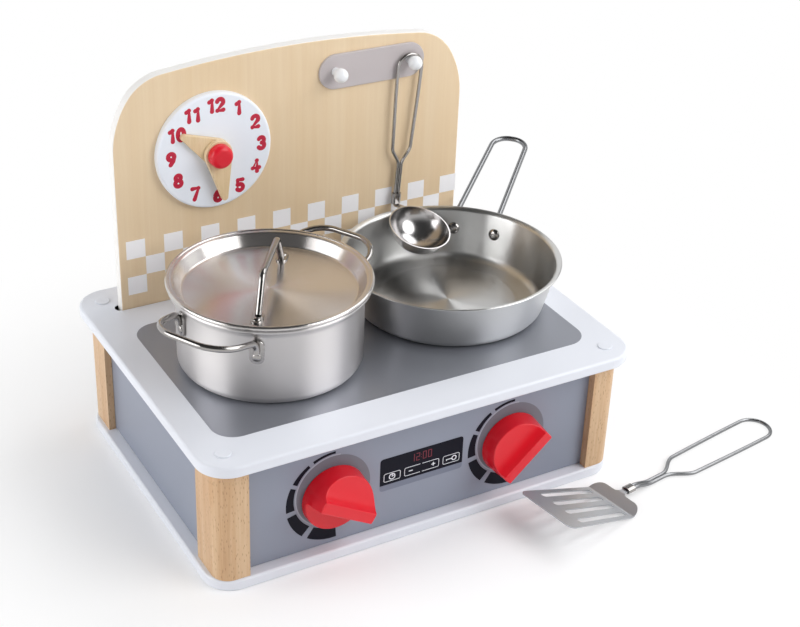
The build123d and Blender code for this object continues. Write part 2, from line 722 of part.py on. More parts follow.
with BuildPart() as pan_studs:
    for angle in pan_holes:
        stud = around(pan_x, pan_y, angle, pan_wall(pan_stud_z), pan_stud_z, wall_lean)
        with BuildSketch(stud.offset(snug_gap + 1.5)):
            Circle(3.4)
        extrude(amount=1.4, taper=35)
        with BuildSketch(stud.offset(snug_gap + 1.5)):
            Circle(2.2)
        extrude(amount=-(snug_gap + 1.5 + sheet + 0.8))
        with BuildSketch(stud.offset(-(sheet + 0.2))):
            Circle(4.8)
        extrude(amount=-2.2, taper=38)
pan_studs.part.label = "pan_studs"
export_step(pan_studs.part, "parts/pan_studs.step")

# ladle: two-strand wire on the right peg, ferrule, neck strip and bowl
tilt = radians(ladle_tilt)
yaw = radians(ladle_yaw)
right_dir = Vector(cos(tilt), 0, -sin(tilt))
up_dir = Vector(sin(tilt), 0, cos(tilt))
front_dir = Vector(0, -1, 0)
bowl_front = front_dir * cos(yaw) + right_dir * sin(yaw)
bowl_right = right_dir * cos(yaw) - front_dir * sin(yaw)
hang_z = peg_z + peg_radius + free_gap + ladle_wire
hang = Vector(rack_x + peg_pitch / 2, ladle_y, hang_z)
ladle_plane = Plane(origin=hang, x_dir=right_dir, z_dir=front_dir)
pair = ladle_wire + 0.03
strand_end = -122.2
ferrule_low = 126.6
split = -93.0
widen = -77.4
with BuildPart() as ladle_handle:
    with BuildLine(ladle_plane):
        Line((-pair, strand_end), (-pair, split))
        Spline((-pair, split), (-8.2, widen), tangents=[(0, 1), (-0.035, 1)])
        Spline((-8.2, widen), (-10.5, -10.5), tangents=[(-0.035, 1), (0, 1)])
        ThreePointArc((-10.5, -10.5), (0, 0), (10.5, -10.5))
        Spline((10.5, -10.5), (8.2, widen), tangents=[(0, -1), (-0.035, -1)])
        Spline((8.2, widen), (pair, split), tangents=[(-0.035, -1), (0, -1)])
        Line((pair, split), (pair, strand_end))
    start = hang - right_dir * pair + up_dir * strand_end
    with BuildSketch(Plane(origin=start, z_dir=up_dir)):
        Circle(ladle_wire)
    sweep()
ladle_handle.part.label = "ladle_handle"
export_step(ladle_handle.part, "parts/ladle_handle.step")

with BuildPart() as ladle_ferrule:
    with BuildSketch(Plane(origin=hang - up_dir * ferrule_low, x_dir=right_dir, z_dir=up_dir)):
        SlotOverall(4 * ladle_wire + 2.4, 2 * ladle_wire + 2.2)
        SlotOverall(4 * ladle_wire + 0.5, 2 * ladle_wire + 0.4, mode=Mode.SUBTRACT)
    extrude(amount=8.8)
ladle_ferrule.part.label = "ladle_ferrule"
export_step(ladle_ferrule.part, "parts/ladle_ferrule.step")

neck_plane = Plane(origin=hang, x_dir=bowl_front, z_dir=-bowl_right)
mouth = hang + bowl_front * ladle_mouth_forward - up_dir * ladle_mouth_drop
mouth_dir = bowl_front * cos(radians(ladle_mouth_tilt)) - up_dir * sin(radians(ladle_mouth_tilt))
mouth_normal = up_dir * cos(radians(ladle_mouth_tilt)) + bowl_front * sin(radians(ladle_mouth_tilt))
bowl_plane = Plane(origin=mouth, x_dir=mouth_dir, z_dir=-bowl_right)
ball_r = (ladle_bowl ** 2 + ladle_depth ** 2) / (2 * ladle_depth)
ball_c = ball_r - ladle_depth
wall = 1.0
neck_sheet = 1.2


def on_ball(radius, deg):
    """Point of the bowl's section at an angle from straight down."""
    return (radius * sin(radians(deg)), ball_c - radius * cos(radians(deg)))


with BuildPart() as ladle_bowl_part:
    with BuildSketch(neck_plane):
        with BuildLine():
            back_a = ladle_mouth_forward - (ladle_bowl - 0.5) * cos(radians(ladle_mouth_tilt))
            back_b = -ladle_mouth_drop + (ladle_bowl - 0.5) * sin(radians(ladle_mouth_tilt)) - 0.55
            FilletPolyline((0, -122.5), (0, -128.6), (back_a, back_b), radius=2.6)
        trace(line_width=neck_sheet)
    extrude(amount=2.5, both=True)
    with BuildSketch(bowl_plane):
        with BuildLine():
            out_deg = degrees(asin(ladle_bowl / ball_r))
            in_r = ball_r - wall
            in_end = sqrt(in_r ** 2 - ball_c ** 2)
            in_deg = degrees(asin(in_end / in_r))
            ThreePointArc((0, -ladle_depth), on_ball(ball_r, out_deg / 2), (ladle_bowl, 0))
            Line((ladle_bowl, 0), (in_end, 0))
            ThreePointArc((in_end, 0), on_ball(in_r, in_deg / 2), (0, -ladle_depth + wall))
            Line((0, -ladle_depth + wall), (0, -ladle_depth))
        make_face()
    revolve(axis=Axis(tuple(mouth), tuple(mouth_normal)))
ladle_bowl_part.part.label = "ladle_bowl"
export_step(ladle_bowl_part.part, "parts/ladle_bowl.step")

# spatula: slotted blade rising from the neck, ferrule and two-strand wire handle on the floor
forward = Vector(cos(radians(spat_yaw)), sin(radians(spat_yaw)), 0)
leftward = Vector(-sin(radians(spat_yaw)), cos(radians(spat_yaw)), 0)
spat_origin = Vector(spat_x, spat_y, 0)
spat_floor = Plane(origin=spat_origin, x_dir=forward, z_dir=(0, 0, 1))
spat_side = Plane(origin=spat_origin, x_dir=forward, z_dir=-leftward)
blade_t = 1.0
blade_low = 0.95
with BuildPart() as spatula_blade:
    with BuildSketch(spat_side):
        with BuildLine():
            run_out = blade_front + 6
            rise = (run_out - blade_crease) * tan(radians(spat_rise))
            FilletPolyline((-5.2, spat_neck), (2.5, spat_neck), (blade_crease, blade_low),
                           (run_out, blade_low + rise), radius=3.0)
        trace(line_width=blade_t)
    extrude(amount=2 * blade_front_half, both=True)
    with BuildSketch(spat_floor) as outline:
        with BuildLine():
            Polyline((-5.0, 2.5), (blade_rear, 2.5), (blade_rear, blade_rear_half),
                     (blade_front, blade_front_half),
                     (blade_front, -blade_front_half), (blade_rear, -blade_rear_half), (blade_rear, -2.5),
                     (-5.0, -2.5), (-5.0, 2.5))
        make_face()
        fillet(outline.vertices().filter_by(lambda v: v.X > 20), 5.0)
        fillet(outline.vertices().filter_by(lambda v: abs(v.X - blade_rear) < 1 and abs(v.Y) > 10), 9.0)
        fillet(outline.vertices().filter_by(lambda v: abs(v.X - blade_rear) < 1 and abs(v.Y) < 3), 4.0)
    extrude(amount=60, both=True, mode=Mode.INTERSECT)
    with BuildSketch(spat_floor):
        slot_mid = blade_crease + 3.5 + slot_length / 2
        for share in (-0.72, -0.24, 0.24, 0.72):
            spread = share * (blade_front_half - blade_rear_half) * slot_length / (blade_front - blade_rear)
            slant = degrees(atan2(spread, slot_length))
            with Locations((slot_mid, share * (blade_front_half + blade_rear_half) / 2)):
                SlotOverall(slot_length, 5.6, rotation=slant)
    extrude(amount=60, both=True, mode=Mode.SUBTRACT)
spatula_blade.part.label = "spatula_blade"
export_step(spatula_blade.part, "parts/spatula_blade.step")

with BuildPart() as spatula_ferrule:
    ferrule_plane = Plane(origin=spat_origin - forward * 9.0 + Vector(0, 0, spat_neck), x_dir=leftward,
                          z_dir=forward)
    with BuildSketch(ferrule_plane):
        SlotOverall(4 * spat_wire + 2.0, 2 * spat_wire + 1.9)
        SlotOverall(4 * spat_wire + 0.5, 2 * spat_wire + 0.4, mode=Mode.SUBTRACT)
    extrude(amount=7.0)
spatula_ferrule.part.label = "spatula_ferrule"
export_step(spatula_ferrule.part, "parts/spatula_ferrule.step")

# handle: both strands run from the ferrule down to the floor, part and meet in a round end
spat_pair = spat_wire + 0.03
spat_floor_z = spat_wire + 0.1
strand_start = 5.4
strand_level = 10.5
strand_down = 30.0
spat_belly = spat_half - 1.5


def spat_point(back, side_v, z):
    """Point of the handle: distance behind the neck, to the left of it, and height."""
    return tuple(spat_origin - forward * back + leftward * side_v + Vector(0, 0, z))


backward = tuple(forward * -1)
with BuildPart() as spatula_handle:
    with BuildLine():
        for s in (1, -1):
            opening = tuple(forward * -1 + leftward * 0.03 * s)
            Line(spat_point(strand_start, s * spat_pair, spat_neck),
                 spat_point(strand_level, s * spat_pair, spat_neck))
            Spline(spat_point(strand_level, s * spat_pair, spat_neck),
                   spat_point(strand_down, s * spat_pair, spat_floor_z), tangents=[backward, backward])
            Line(spat_point(strand_down, s * spat_pair, spat_floor_z),
                 spat_point(spat_split, s * spat_pair, spat_floor_z))
            Spline(spat_point(spat_split, s * spat_pair, spat_floor_z),
                   spat_point(spat_wide, s * spat_belly, spat_floor_z), tangents=[backward, opening])
            Spline(spat_point(spat_wide, s * spat_belly, spat_floor_z),
                   spat_point(spat_length - spat_half, s * spat_half, spat_floor_z), tangents=[opening, backward])
        ThreePointArc(spat_point(spat_length - spat_half, spat_half, spat_floor_z),
                      spat_point(spat_length, 0, spat_floor_z),
                      spat_point(spat_length - spat_half, -spat_half, spat_floor_z))
    with BuildSketch(Plane(origin=spat_point(strand_start, spat_pair, spat_neck), z_dir=backward)):
        Circle(spat_wire)
    sweep()
spatula_handle.part.label = "spatula_handle"
export_step(spatula_handle.part, "parts/spatula_handle.step")
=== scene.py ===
import bmesh
import bpy
from math import asin, atan2, cos, degrees, hypot, pi, radians, sin, sqrt, tan
from mathutils import Matrix, Vector


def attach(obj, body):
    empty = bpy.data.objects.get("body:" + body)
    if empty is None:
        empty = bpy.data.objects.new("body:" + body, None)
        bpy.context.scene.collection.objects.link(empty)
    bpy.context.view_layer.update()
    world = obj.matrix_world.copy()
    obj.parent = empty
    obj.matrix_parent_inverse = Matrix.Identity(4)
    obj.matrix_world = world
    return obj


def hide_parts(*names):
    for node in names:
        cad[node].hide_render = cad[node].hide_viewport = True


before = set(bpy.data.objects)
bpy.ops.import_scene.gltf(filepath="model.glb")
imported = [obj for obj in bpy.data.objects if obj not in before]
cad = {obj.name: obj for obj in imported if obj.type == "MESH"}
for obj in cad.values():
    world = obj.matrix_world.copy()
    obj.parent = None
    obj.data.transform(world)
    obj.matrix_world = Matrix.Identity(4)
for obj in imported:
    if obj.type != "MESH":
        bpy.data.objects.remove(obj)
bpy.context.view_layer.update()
scene = bpy.context.scene
mm = 0.001
print("frame loaded:", len(cad), "nodes")


def linear(code):
    # sRGB hex to the linear colour that the shaders work in
    parts = [int(code[i:i + 2], 16) / 255 for i in (1, 3, 5)]
    return (*(p / 12.92 if p <= 0.04045 else ((p + 0.055) / 1.055) ** 2.4 for p in parts), 1.0)


def link(tree, node, links):
    # feeds a node's sockets; a node given as a source stands for its first output
    for key, source in links.items():
        socket = source.outputs[0] if hasattr(source, "outputs") else source
        tree.links.new(socket, node.inputs[key])


def addNode(tree, kind, settings=None, links=None):
    # one node: attributes and socket values first, then what feeds it
    node = tree.nodes.new(kind)
    for key, value in (settings or {}).items():
        if isinstance(key, str) and hasattr(node, key):
            setattr(node, key, value)
        else:
            node.inputs[key].default_value = value
    link(tree, node, links or {})
    return node


def emptyTree(owner):
    # the node tree of a material or a world, with nothing in it yet
    owner.use_nodes = True
    owner.node_tree.nodes.clear()
    return owner.node_tree


def newMaterial(name, values):
    material = bpy.data.materials.new(name)
    tree = emptyTree(material)
    shader = addNode(tree, "ShaderNodeBsdfPrincipled", values)
    addNode(tree, "ShaderNodeOutputMaterial", links={"Surface": shader})
    place = addNode(tree, "ShaderNodeTexCoord").outputs["Object"]
    return material, tree, shader, place


def colourBands(ramp, stops):
    # fills a colour ramp from (place, hex) pairs
    band = ramp.color_ramp
    while len(band.elements) < len(stops):
        band.elements.new(0.5)
    for element, (at, code) in zip(band.elements, stops):
        element.position = at
        element.color = linear(code)


skinHeight = 0.2 * mm  # what a bump of full strength stands up


def addSkin(tree, shader, place, grain, depth, detail=3.0):
    # the fine unevenness of a sprayed or moulded surface
    noise = addNode(tree, "ShaderNodeTexNoise", {"Scale": 1 / grain, "Detail": detail}, {0: place})
    bump = addNode(
        tree, "ShaderNodeBump", {"Strength": depth, "Distance": skinHeight}, {"Height": noise})
    link(tree, shader, {"Normal": bump})


def makeWhiteLacquer():
    # plywood sprayed with satin white lacquer: even, cool white, a soft broad sheen, faint spray
    # texture; the sawn walls of the slot are coloured near-black as painted shade inside the narrow
    # cut
    look = {"colour": "#E1E4EC", "roughness": 0.36, "sprayGrain": 1.6 * mm, "sprayDepth": 0.02,
            "paintedSlotShade": "#1B1A1C", "slotMiddle": (0, 98.8 * mm, 100 * mm),
            "slotHalf": (152.5 * mm, 5.6 * mm, 9.4 * mm)}
    material, tree, shader, place = newMaterial("satinWhiteLacquer", {
        "Roughness": look["roughness"], "Coat Weight": 0.15, "Coat Roughness": 0.25})
    steps = {"SUBTRACT": look["slotMiddle"], "DIVIDE": look["slotHalf"], "ABSOLUTE": (0, 0, 0)}
    sized = place  # distance from the slot's middle, where 1 is the slot's wall
    for step, by in steps.items():
        sized = addNode(tree, "ShaderNodeVectorMath", {"operation": step, 1: by}, {0: sized})
    apart = addNode(tree, "ShaderNodeSeparateXYZ", links={0: sized}).outputs
    wider = addNode(tree, "ShaderNodeMath", {"operation": "MAXIMUM"}, {0: apart[0], 1: apart[1]})
    widest = addNode(tree, "ShaderNodeMath", {"operation": "MAXIMUM"}, {0: wider, 1: apart[2]})
    outside = addNode(tree, "ShaderNodeMath", {"operation": "GREATER_THAN", 1: 1.0}, {0: widest})
    # inside the slot the colour is near-black: painted shade of the deep cut, not the tone of the
    # ply
    paint = addNode(tree, "ShaderNodeMix", {
        "data_type": "RGBA", 6: linear(look["paintedSlotShade"]), 7: linear(look["colour"])}, {0: outside})
    link(tree, shader, {"Base Color": paint.outputs[2]})
    addSkin(tree, shader, place, look["sprayGrain"], look["sprayDepth"], 2.0)
    return material


fleckEdge = (0.12, 0.28)  # where a fleck starts to fade, and where it has gone


def makeWood(name, look):
    # clear-lacquered timber, its grain upright: drawn-out fibres, slow drift of tone, pores as
    # short dark flecks; grain, ring and fleck are widths and lengths
    material, tree, shader, place = newMaterial(name, {
        "Roughness": look["roughness"], "Coat Weight": 0.12, "Coat Roughness": 0.3})
    grain, ring, fleck = (
        addNode(tree, "ShaderNodeMapping", {"Scale": (1 / wide, 1 / wide, 1 / long)}, {0: place})
        for wide, long in (look["grain"], look["ring"], look["fleck"]))
    fibre = addNode(tree, "ShaderNodeTexNoise", {
        "Scale": 1.0, "Detail": 5.0, "Roughness": 0.62, "Distortion": 0.35}, {0: grain})
    tone = addNode(tree, "ShaderNodeValToRGB", links={"Fac": fibre})
    colourBands(tone, [(0.30, look["dark"]), (0.52, look["mid"]), (0.72, look["light"])])
    drift = addNode(tree, "ShaderNodeTexNoise", {
        "Scale": 1.0, "Detail": 3.0, "Distortion": 0.8}, {0: ring})
    driftTone = addNode(tree, "ShaderNodeValToRGB", links={"Fac": drift})
    colourBands(driftTone, [(0.35, look["ringDark"]), (0.6, "#FFFFFF")])
    ringed = addNode(tree, "ShaderNodeMix", {
        "data_type": "RGBA", "blend_type": "MULTIPLY", 0: look["ringStrength"]},
        {6: tone, 7: driftTone})
    pores = addNode(tree, "ShaderNodeTexVoronoi", {"Scale": 1.0}, {0: fleck})
    mask = addNode(tree, "ShaderNodeMapRange", {
        "From Min": fleckEdge[0], "From Max": fleckEdge[1], "To Min": look["poreStrength"],
        "To Max": 0.0}, {0: pores})
    flecked = addNode(tree, "ShaderNodeMix", {
        "data_type": "RGBA", 7: linear(look["pore"])}, {0: mask, 6: ringed.outputs[2]})
    bump = addNode(
        tree, "ShaderNodeBump", {"Strength": 0.06, "Distance": skinHeight}, {"Height": fibre})
    link(tree, shader, {"Base Color": flecked.outputs[2], "Normal": bump})
    return material, tree, shader, flecked


def makeBoardPly():
    # birch plywood face: pale, calm figure; the sheet's edge is lacquered white
    look = {"roughness": 0.42, "dark": "#E8CFAC", "mid": "#EAD2AF", "light": "#ECD5B3",
            "grain": (2.6 * mm, 120 * mm), "ring": (26 * mm, 320 * mm), "ringDark": "#F2E4CC",
            "ringStrength": 0.28, "fleck": (0.8 * mm, 6.0 * mm), "poreStrength": 0.08,
            "pore": "#D2B48A", "edge": "#EDEBE8"}
    material, tree, shader, timber = makeWood("lacqueredBirchPly", look)
    facing = addNode(tree, "ShaderNodeNewGeometry").outputs["Normal"]
    split = addNode(tree, "ShaderNodeSeparateXYZ", links={0: facing})
    flat = addNode(tree, "ShaderNodeMath", {"operation": "ABSOLUTE"}, {0: split.outputs["Y"]})
    edge = addNode(tree, "ShaderNodeMapRange", {
        "From Min": 0.72, "From Max": 0.80, "To Min": 1.0, "To Max": 0.0}, {0: flat})
    painted = addNode(tree, "ShaderNodeMix", {
        "data_type": "RGBA", 7: linear(look["edge"])}, {0: edge, 6: timber.outputs[2]})
    link(tree, shader, {"Base Color": painted.outputs[2]})
    return material


metallic = {"Metallic": 1.0}


def makePlain(name, colour, roughness, sockets=None, skin=None):
    # one even colour; skin is the grain size and the depth of its unevenness
    material, tree, shader, place = newMaterial(name, {
        "Base Color": linear(colour), "Roughness": roughness, **(sockets or {})})
    if skin:
        addSkin(tree, shader, place, *skin)
    return material


def makeSpunSteel(name, look):
    # stainless sheet turned on a lathe: grooves run round the axis, so highlights fan out from it
    material, tree, shader, place = newMaterial(name, {
        "Base Color": linear(look["colour"]), "Metallic": 1.0, "Roughness": look["roughness"],
        "Anisotropic": look["pull"], "Anisotropic Rotation": 0.25})
    steps = {"SUBTRACT": look["axis"], "MULTIPLY": (1, 1, 0), "LENGTH": (0, 0, 0)}
    radius = place
    for step, by in steps.items():
        radius = addNode(tree, "ShaderNodeVectorMath", {"operation": step, 1: by}, {0: radius})
    upright = addNode(tree, "ShaderNodeSeparateXYZ", links={0: place})
    along = addNode(tree, "ShaderNodeMath", {"operation": "ADD"}, {
        0: radius.outputs["Value"], 1: upright.outputs["Z"]})
    groove = addNode(
        tree, "ShaderNodeMath", {"operation": "MULTIPLY", 1: 1 / look["groove"]}, {0: along})
    lines = addNode(tree, "ShaderNodeTexNoise", {
        "noise_dimensions": "1D", "Scale": 1.0, "Detail": 3.0, "Roughness": 0.7}, {"W": groove})
    rough, spread = look["roughness"], look["spread"]
    sheen = addNode(tree, "ShaderNodeMapRange", {
        "From Min": 0.3, "From Max": 0.7, "To Min": rough - spread, "To Max": rough + spread},
        {0: lines})
    bump = addNode(tree, "ShaderNodeBump", {
        "Strength": look["depth"], "Distance": 0.05 * mm}, {"Height": lines})
    around = addNode(tree, "ShaderNodeTangent", {"direction_type": "RADIAL", "axis": "Z"})
    link(tree, shader, {"Roughness": sheen, "Normal": bump, "Tangent": around})
    return material


potCentre = Vector((-74.5, -16.0, 0))
panCentre = Vector((84.7, -2.5, 0))
whiteLacquer = makeWhiteLacquer()
# planed beech: warm tan, straight grain, brown flecks drawn a little coarser than real ones
beech = makeWood("lacqueredBeech", {
    "roughness": 0.45, "dark": "#CBA781", "mid": "#D2B18B", "light": "#D8BA97",
    "grain": (1.6 * mm, 40 * mm), "ring": (9 * mm, 160 * mm), "ringDark": "#E8CFB0",
    "ringStrength": 0.6, "fleck": (1.1 * mm, 5.6 * mm), "poreStrength": 0.72,
    "pore": "#94683E"})[0]
boardPly = makeBoardPly()
# small birch ply hands: the tone of the board, a finer figure
handWood = makeWood("birchHandPly", {
    "roughness": 0.5, "dark": "#E0C79E", "mid": "#E6CEA8", "light": "#ECD6B4",
    "grain": (1.2 * mm, 30 * mm), "ring": (12 * mm, 90 * mm), "ringDark": "#F4E8D4",
    "ringStrength": 0.4, "fleck": (0.6 * mm, 3.0 * mm), "poreStrength": 0.15,
    "pore": "#B98F60"})[0]
# panels: satin blue-grey lacquer on hardboard
panelPaint = makePlain("blueGreyLacquer", "#8A909F", 0.42, {"Coat Weight": 0.1}, (1.4 * mm, 0.02))
# screen-printed inks: flat and even, the hob's with a silvery sheen
hobInk = makePlain("silverGreyInk", "#989BA4", 0.34, {"Metallic": 0.6})
discInk = makePlain("darkGreyInk", "#6F717B", 0.45)
ringInk = makePlain("paleGreyInk", "#A3A7B3", 0.45)
blackInk = makePlain("blackInk", "#0B0C1A", 0.5, {"Specular IOR Level": 0.15})
# the band under the display is painted shadow: a darker grey strip where shade falls below the
# screen
shadowBandInk = makePlain("paintedShadowInk", "#73798A", 0.45)
iconInk = makePlain("whiteIconInk", "#E4E6EC", 0.5)
dimRedInk = makePlain("dimRedInk", "#781C2E", 0.5)
numeralInk = makePlain("redNumeralInk", "#C3163A", 0.45)
checkerInk = makePlain("whiteCheckerInk", "#FCFBFD", 0.42)
# injection-moulded ABS, glossy, slight skin texture; the clock's cap is the same, tumbled duller
redAbs = makePlain("redAbs", "#E00A20", 0.26, {
    "Coat Weight": 0.08, "Coat Roughness": 0.05, "Subsurface Weight": 0.05,
    "Subsurface Radius": (0.004, 0.001, 0.001)}, (2.2 * mm, 0.03))
capAbs = makePlain("tumbledRedAbs", "#DC0F28", 0.33)
whiteAbs = makePlain("whiteAbs", "#EEF0F3", 0.28, {"Coat Weight": 0.2})
clockCard = makePlain("whiteClockLacquer", "#F0F5FE", 0.4)
rackPaint = makePlain("greyPowderCoat", "#C2BABB", 0.5, skin=(0.9 * mm, 0.04))
plated = makePlain("zincPlate", "#BFC0C4", 0.3, metallic)
potSteel = makeSpunSteel("spunPotSteel", {
    "colour": "#D2CFCF", "roughness": 0.36, "pull": 0.96, "groove": 1.2 * mm, "spread": 0.02,
    "depth": 0.02, "axis": potCentre * mm})
lidSteel = makeSpunSteel("spunLidSteel", {
    "colour": "#D0CCCA", "roughness": 0.26, "pull": 0.95, "groove": 0.9 * mm, "spread": 0.01,
    "depth": 0.01, "axis": potCentre * mm})
panSteel = makeSpunSteel("spunPanSteel", {
    "colour": "#D2D2D1", "roughness": 0.3, "pull": 0.94, "groove": 1.1 * mm, "spread": 0.012,
    "depth": 0.006, "axis": panCentre * mm})
# drawn stainless wire: tumbled bright, or left satin; then a buffed bowl and a blasted blade
wireSteel = makePlain("brightWireSteel", "#A3A09E", 0.17, metallic)
satinWire = makePlain("satinWireSteel", "#8A8B8D", 0.28, metallic)
bowlSteel = makePlain("buffedBowlSteel", "#B4B2B2", 0.2, metallic)
bladeSteel = makePlain("satinBladeSteel", "#BCBEC2", 0.5, metallic, (0.5 * mm, 0.1))
print("finishes made")

# finishes of the CAD's own nodes that stay in view; the posts are beech, the rest bright steel
nodeFinish = {
    "base_plate": whiteLacquer, "top_plate": whiteLacquer, "corner_caps": whiteLacquer,
    "board_rail": beech, "front_panel": panelPaint, "rear_panel": panelPaint,
    "side_panel_left": panelPaint, "side_panel_right": panelPaint, "knob_left": redAbs,
    "knob_right": redAbs, "backboard": boardPly, "clock_face": clockCard, "clock_cap": capAbs,
    "clock_nut": plated, "hour_hand": handWood, "minute_hand": handWood, "hook_plate": rackPaint,
    "hook_pegs": whiteAbs, "ladle_bowl": bowlSteel, "spatula_blade": bladeSteel}
for name, node in cad.items():
    finish = nodeFinish.get(name, beech if name.startswith("post") else wireSteel)
    node.data.materials.clear()
    node.data.materials.append(finish)


def meshObject(name, points, faces, material, edges=()):
    mesh = bpy.data.meshes.new(name)
    mesh.from_pydata([tuple(p) for p in points], list(edges), faces)
    if material:
        mesh.materials.append(material)
    piece = bpy.data.objects.new(name, mesh)
    scene.collection.objects.link(piece)
    return piece


def smooth(piece, angle=32):
    faces = piece.data.polygons
    faces.foreach_set("use_smooth", [True] * len(faces))
    piece.data.set_sharp_from_angle(angle=radians(angle))
    return piece


def assign(piece, body, slot, *nodes):
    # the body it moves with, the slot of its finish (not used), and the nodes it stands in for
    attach(piece, body)
    if nodes:
        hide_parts(*nodes)


def runNodes(piece, tree, values):
    # puts a node tree on a piece with its named inputs, and keeps the result as a plain mesh
    modifier = piece.modifiers.new(tree.name, "NODES")
    modifier.node_group = tree
    for item in tree.interface.items_tree:
        if item.in_out == "INPUT" and item.name in values:
            modifier[item.identifier] = values[item.name]
    graph = bpy.context.evaluated_depsgraph_get()
    graph.update()
    mesh = bpy.data.meshes.new_from_object(piece.evaluated_get(graph))
    piece.modifiers.clear()
    piece.data = mesh
    return piece


def newTree(name, inputs):
    tree = bpy.data.node_groups.new(name, "GeometryNodeTree")
    tree.interface.new_socket("Geometry", in_out="INPUT", socket_type="NodeSocketGeometry")
    for label, kind in inputs.items():
        tree.interface.new_socket(label, in_out="INPUT", socket_type="NodeSocket" + kind)
    tree.interface.new_socket("Geometry", in_out="OUTPUT", socket_type="NodeSocketGeometry")
    return tree, addNode(tree, "NodeGroupInput").outputs


def endTree(tree, geometry, material):
    real = addNode(tree, "GeometryNodeRealizeInstances", links={0: geometry})
    dressed = addNode(tree, "GeometryNodeSetMaterial", links={0: real, "Material": material})
    addNode(tree, "NodeGroupOutput", links={0: dressed})
    return tree


def makeWireTree():
    # a path becomes a round wire with closed ends
    tree, entry = newTree("bentWire", {"Wire radius": "Float", "Sides": "Int", "Metal": "Material"})
    path = addNode(tree, "GeometryNodeMeshToCurve", links={0: entry["Geometry"]})
    ring = addNode(tree, "GeometryNodeCurvePrimitiveCircle", links={
        "Resolution": entry["Sides"], "Radius": entry["Wire radius"]})
    tube = addNode(tree, "GeometryNodeCurveToMesh", {"Fill Caps": True}, {0: path, 1: ring})
    return endTree(tree, tube, entry["Metal"])


def makeStrokeTree():
    # paths drawn flat become low rounded strokes of ink
    tree, entry = newTree("inkStroke", {
        "Stroke width": "Float", "Ink height": "Float", "Ink": "Material"})
    half = addNode(
        tree, "ShaderNodeMath", {"operation": "MULTIPLY", 1: 0.5}, {0: entry["Stroke width"]})
    path = addNode(tree, "GeometryNodeMeshToCurve", links={0: entry["Geometry"]})
    ring = addNode(tree, "GeometryNodeCurvePrimitiveCircle", {"Resolution": 12}, {"Radius": half})
    tube = addNode(tree, "GeometryNodeCurveToMesh", {"Fill Caps": True}, {0: path, 1: ring})
    ball = addNode(tree, "GeometryNodeMeshUVSphere", {"Segments": 13, "Rings": 7}, {"Radius": half})
    spots = addNode(
        tree, "GeometryNodeMergeByDistance", {"Distance": 0.01 * mm}, {0: entry["Geometry"]})
    ends = addNode(tree, "GeometryNodeInstanceOnPoints", links={"Points": spots, "Instance": ball})
    both = addNode(tree, "GeometryNodeJoinGeometry", links={0: tube})
    link(tree, both, {0: ends})
    real = addNode(tree, "GeometryNodeRealizeInstances", links={0: both})
    squash = addNode(
        tree, "ShaderNodeMath", {"operation": "DIVIDE"}, {0: entry["Ink height"], 1: half})
    scale = addNode(tree, "ShaderNodeCombineXYZ", {"X": 1.0, "Y": 1.0}, {"Z": squash})
    flat = addNode(tree, "GeometryNodeTransform", links={"Geometry": real, "Scale": scale})
    return endTree(tree, flat, entry["Ink"])


def makeTileTree():
    # every other cell of a grid gets a thin tile of ink
    tree, entry = newTree("checkerTiles", {
        "Columns": "Int", "Rows": "Int", "Tile": "Float", "Ink height": "Float", "Ink": "Material"})
    columns, rows, pitch = entry["Columns"], entry["Rows"], entry["Tile"]
    grid = addNode(tree, "GeometryNodeMeshGrid", links={"Vertices X": columns, "Vertices Y": rows})
    for key, cells in (("Size X", columns), ("Size Y", rows)):
        steps = addNode(tree, "ShaderNodeMath", {"operation": "SUBTRACT", 1: 1.0}, {0: cells})
        span = addNode(tree, "ShaderNodeMath", {"operation": "MULTIPLY"}, {0: steps, 1: pitch})
        link(tree, grid, {key: span})
    index = addNode(tree, "GeometryNodeInputIndex")
    part = addNode(tree, "ShaderNodeMath", {"operation": "DIVIDE"}, {0: index, 1: rows})
    column = addNode(tree, "ShaderNodeMath", {"operation": "FLOOR"}, {0: part})
    row = addNode(tree, "ShaderNodeMath", {"operation": "MODULO"}, {0: index, 1: rows})
    total = addNode(tree, "ShaderNodeMath", {"operation": "ADD"}, {0: column, 1: row})
    odd = addNode(tree, "ShaderNodeMath", {"operation": "MODULO", 1: 2.0}, {0: total})
    pick = addNode(tree, "ShaderNodeMath", {"operation": "LESS_THAN", 1: 0.5}, {0: odd})
    # tiles that meet at a corner keep a hair's width between them
    side = addNode(tree, "ShaderNodeMath", {"operation": "MULTIPLY", 1: 0.998}, {0: pitch})
    size = addNode(tree, "ShaderNodeCombineXYZ", links={0: side, 1: side, 2: entry["Ink height"]})
    tile = addNode(tree, "GeometryNodeMeshCube", links={"Size": size})
    tiles = addNode(tree, "GeometryNodeInstanceOnPoints", links={
        "Points": grid, "Selection": pick, "Instance": tile})
    return endTree(tree, tiles, entry["Ink"])


def makeRivetTree():
    # a domed rivet head on each point, turned to the point's outward direction
    tree, entry = newTree("rivetHeads", {
        "Head radius": "Float", "Head height": "Float", "Metal": "Material"})
    ball = addNode(tree, "GeometryNodeMeshUVSphere", {"Segments": 28, "Rings": 14, "Radius": 1.0})
    shape = addNode(tree, "ShaderNodeCombineXYZ", links={
        0: entry["Head radius"], 1: entry["Head radius"], 2: entry["Head height"]})
    head = addNode(tree, "GeometryNodeTransform", links={"Geometry": ball, "Scale": shape})
    way = addNode(tree, "GeometryNodeInputNamedAttribute", {
        "data_type": "FLOAT_VECTOR", "Name": "outward"})
    turn = addNode(tree, "FunctionNodeAlignRotationToVector", {"axis": "Z"}, {"Vector": way})
    heads = addNode(tree, "GeometryNodeInstanceOnPoints", links={
        "Points": entry["Geometry"], "Instance": head, "Rotation": turn})
    return endTree(tree, heads, entry["Metal"])


wireTree = makeWireTree()
strokeTree = makeStrokeTree()
tileTree = makeTileTree()
rivetTree = makeRivetTree()


